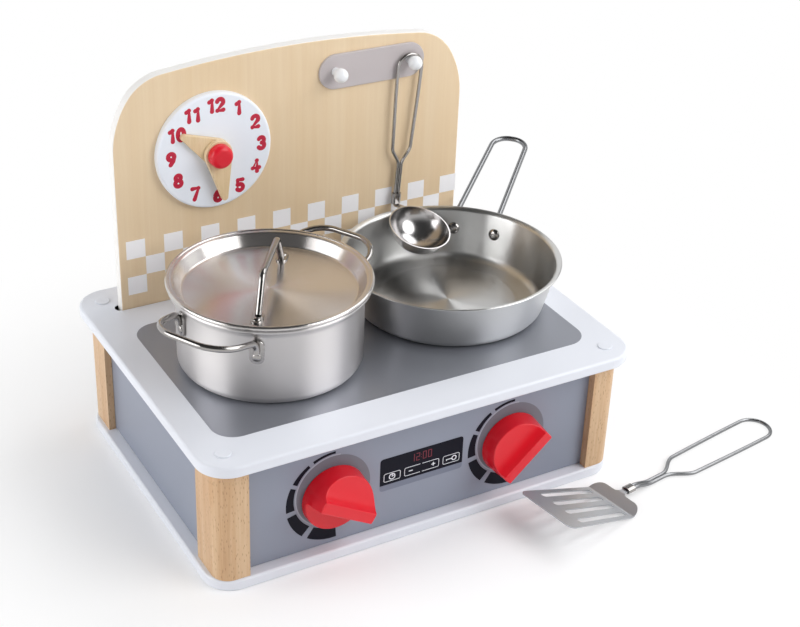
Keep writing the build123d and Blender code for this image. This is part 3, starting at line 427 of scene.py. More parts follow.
def placeOn(piece, origin, across, up):
    # moves a piece drawn flat on XY to a plane given by its origin and two directions, in its mesh
    across, up = Vector(across).normalized(), Vector(up).normalized()
    turn = Matrix((across, up, across.cross(up))).transposed().to_4x4()
    piece.data.transform(Matrix.Translation(Vector(origin) * mm) @ turn)
    return piece


def pathEdges(paths):
    # several paths as one list of points and edges; one that ends where it starts is a closed loop
    points, edges = [], []
    for path in paths:
        start, closed = len(points), (path[0] - path[-1]).length < 1e-7
        path = path[:-1] if closed else path
        points += path
        edges += [(start + i, start + i + 1) for i in range(len(path) - 1)]
        if closed:
            edges.append((start + len(path) - 1, start))
    return points, edges


def bentWire(name, path, radius, material, sides=24):
    points, edges = pathEdges([[Vector(p) * mm for p in path]])
    piece = meshObject(name, points, [], None, edges)
    runNodes(piece, wireTree, {"Wire radius": radius * mm, "Sides": sides, "Metal": material})
    return smooth(piece, 50)


def rivetHeads(name, spots, size):
    # domed heads: spots are (place, outward direction) pairs, size is a head's radius and height
    piece = meshObject(name, [Vector(place) * mm for place, way in spots], [], None)
    outward = piece.data.attributes.new("outward", "FLOAT_VECTOR", "POINT")
    for item, (place, way) in zip(outward.data, spots):
        item.vector = way
    runNodes(piece, rivetTree, {
        "Head radius": size[0] * mm, "Head height": size[1] * mm, "Metal": wireSteel})
    return smooth(piece, 60)


def plate(name, outline, thickness, origin, across, up, material):
    # a flat piece with a small bevel on its outer edges, its back on the plane given
    count, bevel, roundOff = len(outline), 0.35, 0.1
    layers = ((0.0, 0.0), (thickness - bevel, 0.0), (thickness - roundOff, bevel * 0.7),
              (thickness, bevel))
    points = []
    for height, shrink in layers:
        for x, y in outline:
            kept = 1 - shrink / hypot(x, y)
            points.append((x * kept * mm, y * kept * mm, height * mm))
    faces = [tuple(reversed(range(count))), tuple(range(3 * count, 4 * count))]
    for low in (0, count, 2 * count):
        faces += [(low + i, low + (i + 1) % count, low + count + (i + 1) % count, low + count + i)
                  for i in range(count)]
    return smooth(placeOn(meshObject(name, points, faces, material), origin, across, up), 35)


def joinPieces(first, others):
    # one mesh from several
    shape = bmesh.new()
    shape.from_mesh(first.data)
    for piece in others:
        shape.from_mesh(piece.data)
        bpy.data.objects.remove(piece)
    shape.to_mesh(first.data)
    shape.free()
    return first


def inkStrokes(name, paths, width, height, ink, origin, body="cooker", slot="panel_paint"):
    # printed strokes on a face that looks towards -Y
    points, edges = pathEdges([[Vector((x, y, 0)) * mm for x, y in path] for path in paths])
    piece = meshObject(name, points, [], None, edges)
    runNodes(piece, strokeTree, {"Stroke width": width * mm, "Ink height": height * mm, "Ink": ink})
    assign(placeOn(smooth(piece, 60), origin, (1, 0, 0), (0, 0, 1)), body, slot)


def inkPatch(name, outline, height, ink, origin, up=(0, 0, 1), slot="panel_paint"):
    # a thin printed patch: an outline on a plane of the cooker, raised by the ink's height
    count = len(outline)
    points = [(x * mm, y * mm, z * mm) for z in (0, height) for x, y in outline]
    faces = [tuple(range(count, 2 * count)), tuple(reversed(range(count)))]
    faces += [(i, (i + 1) % count, count + (i + 1) % count, count + i) for i in range(count)]
    assign(placeOn(meshObject(name, points, faces, ink), origin, (1, 0, 0), up), "cooker", slot)


def arc(cx, cy, radius, start, end, count, squeeze=1.0):
    # points on an arc, angles in degrees; squeeze narrows it sideways
    span = [radians(start + (end - start) * i / (count - 1)) for i in range(count)]
    return [(cx + radius * squeeze * cos(a), cy + radius * sin(a)) for a in span]


def roundedBox(x0, y0, x1, y1, radius, steps=7):
    corners = ((x1 - radius, y1 - radius, 0), (x0 + radius, y1 - radius, 90),
               (x0 + radius, y0 + radius, 180), (x1 - radius, y0 + radius, 270))
    return [p for cx, cy, a in corners for p in arc(cx, cy, radius, a, a + 90, steps)]


def turned(centre, angle, point):
    # outward, sideways, height in a frame turned about an upright axis
    c, s = cos(radians(angle)), sin(radians(angle))
    out, aside, height = point
    return Vector((centre.x + out * c - aside * s, centre.y + out * s + aside * c, height))


def lathe(name, outlines, centre, material, steps=180):
    # turns outlines (radius, height) about an upright axis; one that starts and ends on the axis is
    # a solid of its own, any other is a closed ring
    onAxis = 1e-6
    points, faces = [], []
    for outline in outlines:
        rings = []
        for r, z in outline:
            turns = 1 if r < onAxis else steps
            rings.append(range(len(points), len(points) + turns))
            points += [turned(centre, 360 * k / steps, (r, 0, z)) * mm for k in range(turns)]
        solid = outline[0][0] < onAxis and outline[-1][0] < onAxis
        for low, high in zip(rings, rings[1:] + ([] if solid else rings[:1])):
            for k in range(steps):
                n = (k + 1) % steps
                face = dict.fromkeys((
                    low[k % len(low)], low[n % len(low)], high[n % len(high)], high[k % len(high)]))
                if len(face) > 2:
                    faces.append(tuple(face))
    piece = meshObject(name, points, faces, material)
    shape = bmesh.new()
    shape.from_mesh(piece.data)
    bmesh.ops.recalc_face_normals(shape, faces=shape.faces)
    shape.to_mesh(piece.data)
    shape.free()
    return smooth(piece)


def sheetOutline(path, thickness):
    # outer skin, round rim and inner skin of a sheet whose middle follows a path out from the axis
    outer, inner = [], []
    for i, (r, z) in enumerate(path):
        before, after = Vector(path[max(i - 1, 0)]), Vector(path[min(i + 1, len(path) - 1)])
        run = (after - before).normalized()
        side = Vector((run.y, -run.x)) * thickness / 2
        outer.append((max(r + side.x, 0.0), z + side.y))
        inner.append((max(r - side.x, 0.0), z - side.y))
    rim = [tuple(Vector(path[-1]) + side * cos(a) + run * sin(a) * thickness / 2)
           for a in (radians(d) for d in (30, 60, 90, 120, 150))]
    outer[0], inner[0] = (0.0, outer[0][1]), (0.0, inner[0][1])
    return outer + rim + inner[::-1]


def turnShell(name, path, look, centre, steel, body):
    # a turned sheet, with a rolled bead on its rim where it has one
    outlines = [sheetOutline(path, look["sheet"])]
    if "bead" in look:
        bead = look["bead"]
        outlines.append(arc(look["rim"] - bead, look["top"] - bead, bead, 0, 345, 24))
    assign(lathe(name, outlines, centre, steel), body, "brushed_steel", body + "_shell")


def bend(before, corner, after, radius, count=10):
    # round bend between two straight runs, in the plane or in space
    corner = Vector(corner)
    back, ahead = (Vector(before) - corner).normalized(), (Vector(after) - corner).normalized()
    half = back.angle(ahead) / 2
    centre = corner + (back + ahead).normalized() * radius / sin(half)
    start, end = (corner + way * radius / tan(half) - centre for way in (back, ahead))
    points = [start.lerp(end, i / count) for i in range(count + 1)]
    return [tuple(centre + p.normalized() * radius) for p in points]


def curveThrough(a, b, leave, arrive, count=16):
    # Hermite curve between two points in the plane or in space
    a, b = Vector(a), Vector(b)
    size = (b - a).length
    leave, arrive = Vector(leave).normalized() * size, Vector(arrive).normalized() * size
    steps = [i / count for i in range(count + 1)]
    return [tuple(a * (2 * t ** 3 - 3 * t ** 2 + 1) + leave * (t ** 3 - 2 * t ** 2 + t)
                  + b * (3 * t ** 2 - 2 * t ** 3) + arrive * (t ** 3 - t ** 2)) for t in steps]


# the hob's printed field
hobField = {"box": (-152, -101, 152, 66), "radius": 17, "ink": 0.12, "top": 110.0}
inkPatch("hob_field", roundedBox(*hobField["box"], hobField["radius"], 12), hobField["ink"], hobInk,
         (0, 0, hobField["top"]), (0, 1, 0), "white_painted_ply")

# a disc, a pale ring and five marks that widen downwards, round each knob
dial = {"x": 74.2, "z": 50.7, "face": -117.0, "discLift": 4.4, "disc": 29.2, "ring": 30.1,
        "ringSpan": (80, 276), "outer": 37.2, "innerLift": 4.1, "inner": 31.2, "ink": 0.1,
        "ringInk": 0.08, "marks": ((88, 116), (122, 149), (154, 186), (193, 228), (236, 274))}
for side, sign in (("left", -1), ("right", 1)):
    hub = (sign * dial["x"], dial["face"], dial["z"])
    disc = arc(0, dial["discLift"], dial["disc"], 0, 360, 97)[:-1]
    inkPatch("dial_disc_" + side, disc, dial["ink"], discInk, hub)
    ringOut, ringIn = (
        arc(0, dial["discLift"], dial[edge], *dial["ringSpan"], 60) for edge in ("ring", "disc"))
    inkPatch("dial_ring_" + side, ringOut + ringIn[::-1], dial["ringInk"], ringInk, hub)
    for number, (start, end) in enumerate(dial["marks"], 1):
        outside, inside = arc(0, 0, dial["outer"], start, end, 13), []
        for x, y in arc(0, 0, 1, start, end, 13):
            lift = dial["innerLift"] * y
            reach = lift + sqrt(dial["inner"] ** 2 - dial["innerLift"] ** 2 + lift ** 2)
            inside.append((x * reach, y * reach))
        inkPatch(f"dial_mark_{side}_{number}", outside + inside[::-1], dial["ink"], blackInk, hub)

# the printed display: a black screen with round top corners over a darker grey band that is painted
# shadow below the screen
display = {"box": (-36.9, 40.4, 32.2, 68.5), "split": 45.4, "radius": 2.4,
           "face": (0, -117.0, 0), "ink": 0.12, "shadowBandInk": 0.08}
outline = roundedBox(*display["box"], display["radius"])
middle = len(outline) // 2
splitLeft, splitRight = ((display["box"][k], display["split"]) for k in (0, 2))
inkPatch("display_black", [splitLeft, splitRight] + outline[:middle], display["ink"], blackInk,
         display["face"])
inkPatch("display_painted_shadow", outline[middle:] + [splitRight, splitLeft], display["shadowBandInk"], shadowBandInk,
         display["face"])

# the display's button frames and their signs, drawn about the buttons' centre line
icons = {"place": (0, -117.12, 51.6), "half": 3.5, "corner": 1.3, "line": 0.48, "signLine": 0.85,
         "ink": 0.06, "boxes": ((-33.6, -20.2), (15.6, 29.4)),
         "middleBox": ((-3.8, -15.3, 90), (-1.8, 10.7, -90)),
         "clock": (-26.9, 2.3), "hands": ((0, 1.6), (0, 0), (1.1, 0.6)),
         "minus": (-12.8, -10.2), "plus": (6.1, 8.7), "plusHalf": 1.3,
         "keyRing": (25.0, 1.8), "keyTip": 18.6, "keyBit": 0.7}
half, corner = icons["half"], icons["corner"]
frames = []
for left, right in icons["boxes"]:
    box = roundedBox(left, -half, right, half, corner, 5)
    frames.append(box + box[:1])
for gap, end, turn in icons["middleBox"]:
    frames.append([(gap, half)] + arc(end, half - corner, corner, 90, 90 + turn, 5)
                  + arc(end, corner - half, corner, 90 + turn, 90 + 2 * turn, 5) + [(gap, -half)])
inkStrokes("display_frames", frames, icons["line"], icons["ink"], iconInk, icons["place"])
clockX, clockRadius = icons["clock"]
plusX = sum(icons["plus"]) / 2
keyX, keyRadius = icons["keyRing"]
signs = [arc(clockX, 0, clockRadius, 0, 360, 25), [(clockX + x, y) for x, y in icons["hands"]],
         [(x, 0) for x in icons["minus"]], [(x, 0) for x in icons["plus"]],
         [(plusX, -icons["plusHalf"]), (plusX, icons["plusHalf"])],
         arc(keyX, 0, keyRadius, 0, 360, 21),
         [(keyX - keyRadius, 0), (icons["keyTip"], 0), (icons["keyTip"], -icons["keyBit"])]]
inkStrokes("display_signs", signs, icons["signLine"], icons["ink"], iconInk, icons["place"])

# seven-bar figures of the display's time, drawn about their middle
barEnds = {"a": ((-1, 2), (1, 2)), "b": ((1, 2), (1, 0)), "c": ((1, 0), (1, -2)),
           "d": ((-1, -2), (1, -2)), "e": ((-1, 0), (-1, -2)), "f": ((-1, 2), (-1, 0)),
           "g": ((-1, 0), (1, 0))}
figureBars = {"1": "bc", "2": "abged", "0": "abcdef"}
digits = {"place": (0, -117.12, 62.2), "wide": 1.25, "tall": 1.5, "line": 0.6, "ink": 0.06,
          "figures": (("1", -10.2), ("2", -5.8), ("0", -0.3), ("0", 4.1)), "colon": -3.2,
          "dots": ((1.2, 1.3), (-1.2, -1.1))}
bars = [[(middle + x * digits["wide"], y * digits["tall"]) for x, y in barEnds[bar]]
        for figure, middle in digits["figures"] for bar in figureBars[figure]]
bars += [[(digits["colon"], low), (digits["colon"], high)] for low, high in digits["dots"]]
inkStrokes("display_time", bars, digits["line"], digits["ink"], dimRedInk, digits["place"])
print("panel prints made")

# the checker strip along the backboard's foot
checker = {
    "columns": 19, "rows": 3, "tile": 15.22, "middle": 3.1, "low": 121.5, "ink": 0.12, "face": 94.3}
tiles = runNodes(meshObject("checker_squares", [], [], None), tileTree, {
    "Columns": checker["columns"], "Rows": checker["rows"], "Tile": checker["tile"] * mm,
    "Ink height": checker["ink"] * mm, "Ink": checkerInk})
stripMiddle = checker["low"] + checker["tile"] * checker["rows"] / 2
placeOn(tiles, (checker["middle"], checker["face"], stripMiddle), (1, 0, 0), (0, 0, 1))
assign(tiles, "backboard", "birch_ply")

# the clock's numerals, each figure drawn about its own middle
figures = {
    "0": [arc(0, 0, 4.1, 0, 360, 25, 0.56)],
    "1": [[(-1.5, 3.0), (0.4, 4.1), (0.4, -4.2)]],
    "2": [arc(0, 1.9, 2.3, 165, -35, 12) + [(-2.2, -4.1), (2.3, -4.1)]],
    "3": [arc(-0.1, 2.1, 2.1, 150, -80, 12), arc(-0.1, -2.0, 2.3, 80, -150, 12)],
    "4": [[(0.9, -4.2), (0.9, 4.1), (-2.4, -1.5), (2.7, -1.5)]],
    "5": [[(2.1, 4.1), (-1.6, 4.1), (-1.9, 0.5)] + arc(-0.1, -1.7, 2.4, 125, -150, 14)],
    "6": [[(1.5, 4.1), (-0.6, 2.6), (-2.1, 0.2)], arc(0, -1.8, 2.3, 0, 360, 21)],
    "7": [[(-2.3, 4.1), (2.3, 4.1), (-0.8, -4.3)]],
    "8": [arc(0, 2.2, 1.9, 0, 360, 19), arc(0, -2.0, 2.3, 0, 360, 21)],
    "9": [arc(0, 1.8, 2.3, 0, 360, 21), [(2.2, 1.4), (1.4, -1.6), (-0.6, -4.2)]]}
clock = {"place": (-69.5, 88.8, 230.0), "ringRadius": 36.5, "shift": 1.3, "stroke": 3.55,
         "pitch": 7.0, "size": 1.06, "ink": 0.1}
numerals = []
for hour in range(1, 13):
    turn, text = radians(90 - 30 * hour), str(hour)
    x0 = clock["shift"] + clock["ringRadius"] * cos(turn)
    y0 = clock["ringRadius"] * sin(turn)
    for k, letter in enumerate(text):
        cx = x0 + (k - (len(text) - 1) / 2) * clock["pitch"]
        numerals += [[(cx + x * clock["size"], y0 + y * clock["size"]) for x, y in path]
                     for path in figures[letter]]
inkStrokes("clock_numerals", numerals, clock["stroke"], clock["ink"], numeralInk, clock["place"],
           "backboard", "red_plastic")
print("board prints made")

# the pot: a drawn shell with a flared wall and a rolled bead
pot = {"radius": 68.0, "sheet": 1.2, "foot": 7.0, "low": 110.3, "flare": 164.5, "top": 174.0,
       "rim": 73.5, "bead": 1.5, "lipLow": 2.1, "lipWay": (0.9, 0.5), "ring": 30, "wallRing": 135}
wallR = pot["radius"] - pot["sheet"] / 2
lowZ = pot["low"] + pot["sheet"] / 2
lip = (pot["rim"] - pot["bead"], pot["top"] - pot["lipLow"])
path = [(0, lowZ), (pot["ring"], lowZ)]
path += bend((0, lowZ), (wallR, lowZ), (wallR, pot["top"]), pot["foot"] - pot["sheet"] / 2, 12)
path += [(wallR, pot["wallRing"])] + curveThrough((wallR, pot["flare"]), lip, (0, 1), pot["lipWay"])
turnShell("pot_wall", path, pot, potCentre, potSteel, "pot")

# the lid: a dish that hangs from a rolled bead
lid = {"recess": 167.0, "dish": 63.4, "wall": (69.0, 175.2), "sheet": 1.0, "foot": 3.0,
       "rim": 74.6, "top": 177.5, "bead": 1.6, "lip": (72.6, 176.4), "wallWay": (0.55, 0.83),
       "lipWay": (1, 0.1), "ring": 30}
middle, dishEdge = (0, lid["recess"]), (lid["dish"], lid["recess"])
path = [middle, (lid["ring"], lid["recess"])] + bend(middle, dishEdge, lid["wall"], lid["foot"])
path += curveThrough(lid["wall"], lid["lip"], lid["wallWay"], lid["lipWay"])
turnShell("lid_dish", path, lid, potCentre, lidSteel, "lid")

# the pan: a leaning wall with a small lip, and a floor pressed up inside a ring
pan = {"low": 110.3, "sheet": 1.2, "base": 72.8, "foot": 8.0, "wall": (82.4, 148.2), "rim": 86.0,
       "top": 151.0, "lipWay": (1, 0.12), "press": (52.5, 58.0), "pressRise": 0.8, "ring": 30}
lowZ = pan["low"] + pan["sheet"] / 2
floorZ = lowZ + pan["pressRise"]
foot, wallTop = Vector((pan["base"], lowZ)), Vector(pan["wall"])
lip = (pan["rim"], pan["top"] - pan["sheet"] / 2)
path = [(0, floorZ), (pan["ring"], floorZ)]
path += curveThrough((pan["press"][0], floorZ), (pan["press"][1], lowZ), (1, 0), (1, 0), 8)
path += bend((0, lowZ), foot, wallTop, pan["foot"], 12) + [tuple(foot.lerp(wallTop, 0.6))]
path += curveThrough(wallTop, lip, wallTop - foot, pan["lipWay"], 12)
turnShell("pan_wall", path, pan, panCentre, panSteel, "pan")
print("pot, lid and pan turned")


def gripWire(name, centre, angle, corners, look, metal):
    # wire in straight runs with a round bend at every inner corner (out, sideways, height)
    points = [turned(centre, angle, p) for p in corners]
    path = points[:1]
    for before, corner, after, radius in zip(points, points[1:], points[2:], look["bends"]):
        path += bend(before, corner, after, radius)
    return bentWire(name, path + points[-1:], look["wire"], metal)


def wallPads(centre, angle, look, radius, lean, spread, metal):
    # a riveted pad each side of a grip, square to a round or leaning wall, and where its rivet
    # heads sit outside and inside the wall
    pads, outer, inner = [], [], []
    shape, low = roundedBox(*look["padBox"], look["padCorner"], 9), radians(lean)
    for s in (-1, 1):
        side = angle + s * spread
        spot = turned(centre, side, (radius, 0, look["padZ"]))
        out = turned(Vector(), side, (cos(low), 0, -sin(low)))
        along = turned(Vector(), side, (0, 1, 0))
        up = out.cross(along)
        pads.append(plate("pad", shape, look["pad"], spot + out * look["gap"], along, up, metal))
        spot += up * look["rivetUp"]
        outer.append((spot + out * (look["gap"] + look["pad"]), out))
        inner.append((spot - out * look["throughWall"], -out))
    return pads, outer, inner


def mirrored(side):
    # one leg's corners (out, sideways, height) after those of its mirror image
    return [(x, -y, z) for x, y, z in side] + side[::-1]


# pot grips, front and rear: a bow of wire whose feet sit on two riveted lugs
potGrip = {"angles": {"front": -151.7, "rear": 28.3}, "spread": 28.6, "wire": 2.3, "sunk": 0.9,
           "knee": 163.5, "reach": 97.2, "half": 30.3, "top": 171.0, "bends": (7, 23, 23, 7),
           "pad": 1.5, "padZ": 155.0, "padBox": (-5.25, -9.5, 5.25, 9.5), "padCorner": 5.0,
           "gap": 0.05, "rivetUp": -4.0, "throughWall": 1.25, "head": (3.2, 1.3),
           "innerHead": (3.0, 0.9)}
legR = pot["radius"] + potGrip["gap"] + potGrip["pad"] + potGrip["wire"] - potGrip["sunk"]
footOut, footSide = (legR * f(radians(potGrip["spread"])) for f in (cos, sin))
corners = mirrored([(footOut, footSide, potGrip["padZ"]), (footOut, footSide, potGrip["knee"]),
                    (potGrip["reach"], potGrip["half"], potGrip["top"])])
outerSpots, innerSpots = [], []
for end, angle in potGrip["angles"].items():
    grip = gripWire("pot_grip_" + end, potCentre, angle, corners, potGrip, wireSteel)
    lugs, outer, inner = wallPads(
        potCentre, angle, potGrip, pot["radius"], 0, potGrip["spread"], wireSteel)
    outerSpots += outer
    innerSpots += inner
    assign(joinPieces(grip, lugs), "pot", "steel_wire", "pot_handle_" + end)
heads = rivetHeads("pot_rivet_heads", outerSpots, potGrip["head"])
innerHeads = rivetHeads("inner_heads", innerSpots, potGrip["innerHead"])
assign(joinPieces(heads, [innerHeads]), "pot", "steel_wire", "pot_rivets")

# lid grip: an arch of wire between two riveted pads
lidGrip = {"angle": 53.5, "wire": 2.4, "foot": 42.5, "barHalf": 27.0, "arch": 25.5, "bends": (9, 9),
           "gap": 0.05, "pad": 1.4, "padMiddle": 45.5, "padBox": (-7.5, -4.2, 7.5, 4.2),
           "padCorner": 4.15, "rivet": 48.5, "head": (3.0, 1.2)}
dishTop = lid["recess"] + lid["sheet"] / 2
padLow, padTop = dishTop + lidGrip["gap"], dishTop + lidGrip["gap"] + lidGrip["pad"]
archTop = dishTop + lidGrip["arch"]


def onLid(out, height):
    # a place along the grip's line over the lid
    return turned(potCentre, lidGrip["angle"], (out, 0, height))


corners = [(-lidGrip["foot"], 0, padTop), (-lidGrip["barHalf"], 0, archTop),
           (lidGrip["barHalf"], 0, archTop), (lidGrip["foot"], 0, padTop)]
grip = gripWire("lid_grip", potCentre, lidGrip["angle"], corners, lidGrip, wireSteel)
gripWay = onLid(1, 0) - onLid(0, 0)
padShape = roundedBox(*lidGrip["padBox"], lidGrip["padCorner"], 9)
pads = [plate("pad", padShape, lidGrip["pad"], onLid(s * lidGrip["padMiddle"], padLow), gripWay,
              Vector((0, 0, 1)).cross(gripWay), wireSteel) for s in (-1, 1)]
assign(joinPieces(grip, pads), "lid", "steel_wire", "lid_handle")
lidSpots = [(onLid(s * lidGrip["rivet"], padTop), (0, 0, 1)) for s in (-1, 1)]
assign(rivetHeads("lid_rivet_heads", lidSpots, lidGrip["head"]), "lid", "steel_wire", "lid_rivets")

# pan grip: one long loop of wire, its feet up the leaning wall on two studded pads
panGrip = {"angle": 43.5, "wire": 2.2, "legHalf": 17.3, "foot": 137.0, "bendAt": 144.5,
           "hold": 2.6, "end": 201.0, "loopHalf": 14.5, "endHeight": 166.0,
           "bends": (4, 13.5, 13.5, 4), "wallLow": (73.2, 110.3), "wallHigh": (83.0, 148.2),
           "pad": 1.5, "padZ": 134.5, "padBox": (-4.2, -6.0, 4.2, 9.0), "padCorner": 4.15,
           "gap": 0.05, "rivetUp": 0, "throughWall": 1.3, "head": (3.4, 1.4),
           "innerHead": (4.8, 2.3)}
wallRun = Vector(panGrip["wallHigh"]) - Vector(panGrip["wallLow"])
lean = degrees(atan2(*wallRun))  # how far the wall leans out


def panWall(height):
    # radius of the pan's outer face at a height
    low, z = panGrip["wallLow"]
    return low + (height - z) * wallRun.x / wallRun.y


leg = [(sqrt((panWall(z) + panGrip["hold"]) ** 2 - panGrip["legHalf"] ** 2),
        panGrip["legHalf"], z) for z in (panGrip["foot"], panGrip["bendAt"])]
corners = mirrored(leg + [(panGrip["end"], panGrip["loopHalf"], panGrip["endHeight"])])
grip = gripWire("pan_grip", panCentre, panGrip["angle"], corners, panGrip, satinWire)
studR = panWall(panGrip["padZ"])
spread = degrees(asin(panGrip["legHalf"] / studR))
pads, outer, inner = wallPads(panCentre, panGrip["angle"], panGrip, studR, lean, spread, satinWire)
assign(joinPieces(grip, pads), "pan", "steel_wire", "pan_handle")
heads = rivetHeads("pan_stud_heads", outer, panGrip["head"])
innerHeads = rivetHeads("pan_inner_heads", inner, panGrip["innerHead"])
assign(joinPieces(heads, [innerHeads]), "pan", "steel_wire", "pan_studs")

# the ladle's wire: a pair that parts into a long loop, drawn upright and then leant off the peg
ladle = {"hang": (97.5, 89.6, 280.5), "tilt": 4.2, "wire": 1.4, "pair": 1.43, "low": -122.2,
         "split": -93.0, "widen": -77.4, "belly": 8.2, "bellyWay": (0.035, 1), "top": 10.5}
belly, topR = (ladle["belly"], ladle["widen"]), ladle["top"]
half = [(ladle["pair"], ladle["low"])]
half += curveThrough((ladle["pair"], ladle["split"]), belly, (0, 1), ladle["bellyWay"], 14)
half += curveThrough(belly, (topR, -topR), ladle["bellyWay"], (0, 1), 12)[1:]
half += arc(0, -topR, topR, 0, 90, 14)[1:]
tilt = radians(ladle["tilt"])
across, up = (Vector((cos(a), 0, -sin(a))) for a in (tilt, tilt - pi / 2))
path = [Vector(ladle["hang"]) + across * x + up * y
        for x, y in half + [(-x, y) for x, y in half[-2::-1]]]
assign(bentWire("ladle_wire", path, ladle["wire"], wireSteel, 18), "ladle", "steel_wire",
       "ladle_handle")

# the spatula's wire: the same loop, lying on the floor and rising to the ferrule
spatula = {"origin": (154.5, -158.5), "yaw": 189.4, "wire": 1.5, "pair": 1.53, "neck": 5.2,
           "floor": 1.6, "start": 5.4, "level": 10.5, "down": 30.0, "split": 44.5, "wide": 69.0,
           "belly": 12.5, "bellyWay": (1, 0.03, 0), "half": 14.0, "length": 166.0}
pair, floorZ, ahead = spatula["pair"], spatula["floor"], (1, 0, 0)
belly = (spatula["wide"], spatula["belly"], floorZ)
loopStart = spatula["length"] - spatula["half"]
side = [(spatula["start"], pair, spatula["neck"])]
side += curveThrough(
    (spatula["level"], pair, spatula["neck"]), (spatula["down"], pair, floorZ), ahead, ahead, 12)
side += curveThrough((spatula["split"], pair, floorZ), belly, ahead, spatula["bellyWay"], 14)
side += curveThrough(belly, (loopStart, spatula["half"], floorZ), spatula["bellyWay"], ahead, 8)[1:]
side += [(x, y, floorZ) for x, y in arc(loopStart, 0, spatula["half"], 90, 0, 14)[1:]]
origin = Vector((*spatula["origin"], 0))
path = [turned(origin, spatula["yaw"], (-x, y, z))
        for x, y, z in side + [(x, -y, z) for x, y, z in side[-2::-1]]]
assign(bentWire("spatula_wire", path, spatula["wire"], satinWire, 18), "spatula", "steel_wire",
       "spatula_handle")
print("wires and rivets made")

# the camera
view = {"azimuth": -30.68, "elevation": 29.91, "roll": 2.33, "distance": 1251.95,
        "target": (59.85, 27.37, 89.43), "focal": 1568.7, "frameWidth": 800, "sensor": 36}
az, el, roll = (radians(view[k]) for k in ("azimuth", "elevation", "roll"))
back = Vector((sin(az) * cos(el), -cos(az) * cos(el), sin(el)))
sideways = Vector((0, 0, 1)).cross(back).normalized()
upward = back.cross(sideways)
camX = sideways * cos(roll) + upward * sin(roll)
camY = upward * cos(roll) - sideways * sin(roll)
lens = bpy.data.cameras.new("studioCamera")
lens.lens = view["focal"] / view["frameWidth"] * view["sensor"]
lens.sensor_width = view["sensor"]
lens.sensor_fit = "HORIZONTAL"
lens.clip_end = 20
camera = bpy.data.objects.new("studioCamera", lens)
eye = Vector(view["target"]) + back * view["distance"]
camera.matrix_world = (
    Matrix.Translation(eye * mm) @ Matrix((camX, camY, back)).transposed().to_4x4())
scene.collection.objects.link(camera)
scene.camera = camera


def makeFloorFinish():
    # matt white paper that fades to the plain backdrop away from the object
    look = {"colour": "#FAFAFB", "fadeFrom": 0.11, "fadeTo": 0.41}
    material = bpy.data.materials.new("whitePaper")
    tree = emptyTree(material)
    place = addNode(tree, "ShaderNodeTexCoord").outputs["Object"]
    away = addNode(tree, "ShaderNodeVectorMath", {"operation": "LENGTH"}, {0: place})
    fade = addNode(tree, "ShaderNodeMapRange", {
        "From Min": look["fadeFrom"], "From Max": look["fadeTo"],
        "interpolation_type": "SMOOTHSTEP"}, {"Value": away.outputs["Value"]})
    rays = addNode(tree, "ShaderNodeLightPath").outputs
    seen = rays["Is Camera Ray"]
    for kind in ("Is Glossy Ray", "Is Transmission Ray"):
        seen = addNode(tree, "ShaderNodeMath", {"operation": "MAXIMUM"}, {0: seen, 1: rays[kind]})
    amount = addNode(tree, "ShaderNodeMath", {"operation": "MULTIPLY"}, {0: fade, 1: seen})
    paper = addNode(tree, "ShaderNodeBsdfDiffuse", {"Color": linear(look["colour"])})
    glow = addNode(tree, "ShaderNodeEmission", {"Color": linear("#FFFFFF"), "Strength": 1.0})
    mixed = addNode(tree, "ShaderNodeMixShader", links={0: amount, 1: paper, 2: glow})
    addNode(tree, "ShaderNodeOutputMaterial", links={"Surface": mixed})
    return material


# floor and backdrop: half width, then y and z of the near and the far edge, in metres
sheets = {"floor": (6, (-6, 0), (6, 0)), "backdrop": (2.4, (1.9, 0), (1.9, 1.9))}
floor, backdrop = (
    meshObject(name, [(-half, *near), (half, *near), (half, *far), (-half, *far)],
               [(0, 1, 2, 3)], makeFloorFinish())
    for name, (half, near, far) in sheets.items())


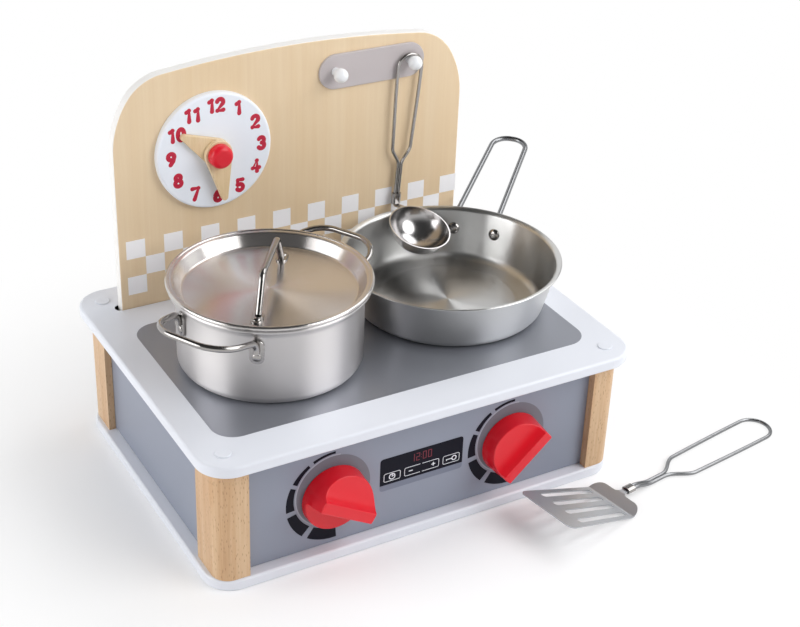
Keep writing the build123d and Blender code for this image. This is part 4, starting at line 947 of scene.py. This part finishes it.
def softbox(name, place, aimHeight, size, power):
    # an oval lamp, in metres and watts, that looks at the middle of the object
    light = bpy.data.lights.new(name, "AREA")
    light.shape = "ELLIPSE"
    light.size, light.size_y = size
    light.energy = power
    lamp = bpy.data.objects.new(name, light)
    away = (Vector(place) - Vector((0, 0, aimHeight))).normalized()
    turn = away.to_track_quat("Z", "Y").to_matrix().to_4x4()
    lamp.matrix_world = Matrix.Translation(Vector(place)) @ turn
    scene.collection.objects.link(lamp)


softbox("keyBox", (1.0, -1.15, 1.2), 0.1, (1.5, 1.5), 22)
softbox("sideBox", (1.25, 0.2, 1.4), 0.1, (1.3, 1.3), 12.5)
softbox("leftBox", (-1.65, 0.2, 0.7), 0.12, (1.6, 1.2), 17.5)


def makeWorld():
    # even room light; a white background for the camera; metal mirrors a bright horizon under a
    # dark ceiling
    room = {"light": 0.33, "horizon": 1.0, "ceiling": 0.06, "ceilingFrom": 0.5}
    world = bpy.data.worlds.new("studioWorld")
    tree = emptyTree(world)
    rays = addNode(tree, "ShaderNodeLightPath").outputs
    seen = addNode(tree, "ShaderNodeMath", {"operation": "MAXIMUM"}, {
        0: rays["Is Camera Ray"], 1: rays["Is Transmission Ray"]})
    way = addNode(tree, "ShaderNodeTexCoord").outputs["Generated"]
    height = addNode(tree, "ShaderNodeSeparateXYZ", links={"Vector": way}).outputs["Z"]
    reflected = addNode(tree, "ShaderNodeMapRange", {
        "From Min": 0.0, "From Max": room["ceilingFrom"], "To Min": room["horizon"],
        "To Max": room["ceiling"], "interpolation_type": "SMOOTHSTEP"}, {"Value": height})
    level = addNode(tree, "ShaderNodeMapRange", {"To Min": room["light"]}, {
        "Value": rays["Is Glossy Ray"], "To Max": reflected})
    lit = addNode(tree, "ShaderNodeBackground", {"Color": linear("#FFFFFF")}, {"Strength": level})
    white = addNode(tree, "ShaderNodeBackground", {"Color": linear("#FFFFFF"), "Strength": 1.0})
    mixed = addNode(tree, "ShaderNodeMixShader", links={0: seen, 1: lit, 2: white})
    addNode(tree, "ShaderNodeOutputWorld", links={"Surface": mixed})
    return world


scene.world = makeWorld()
scene.view_settings.view_transform = "Standard"
print("studio set")
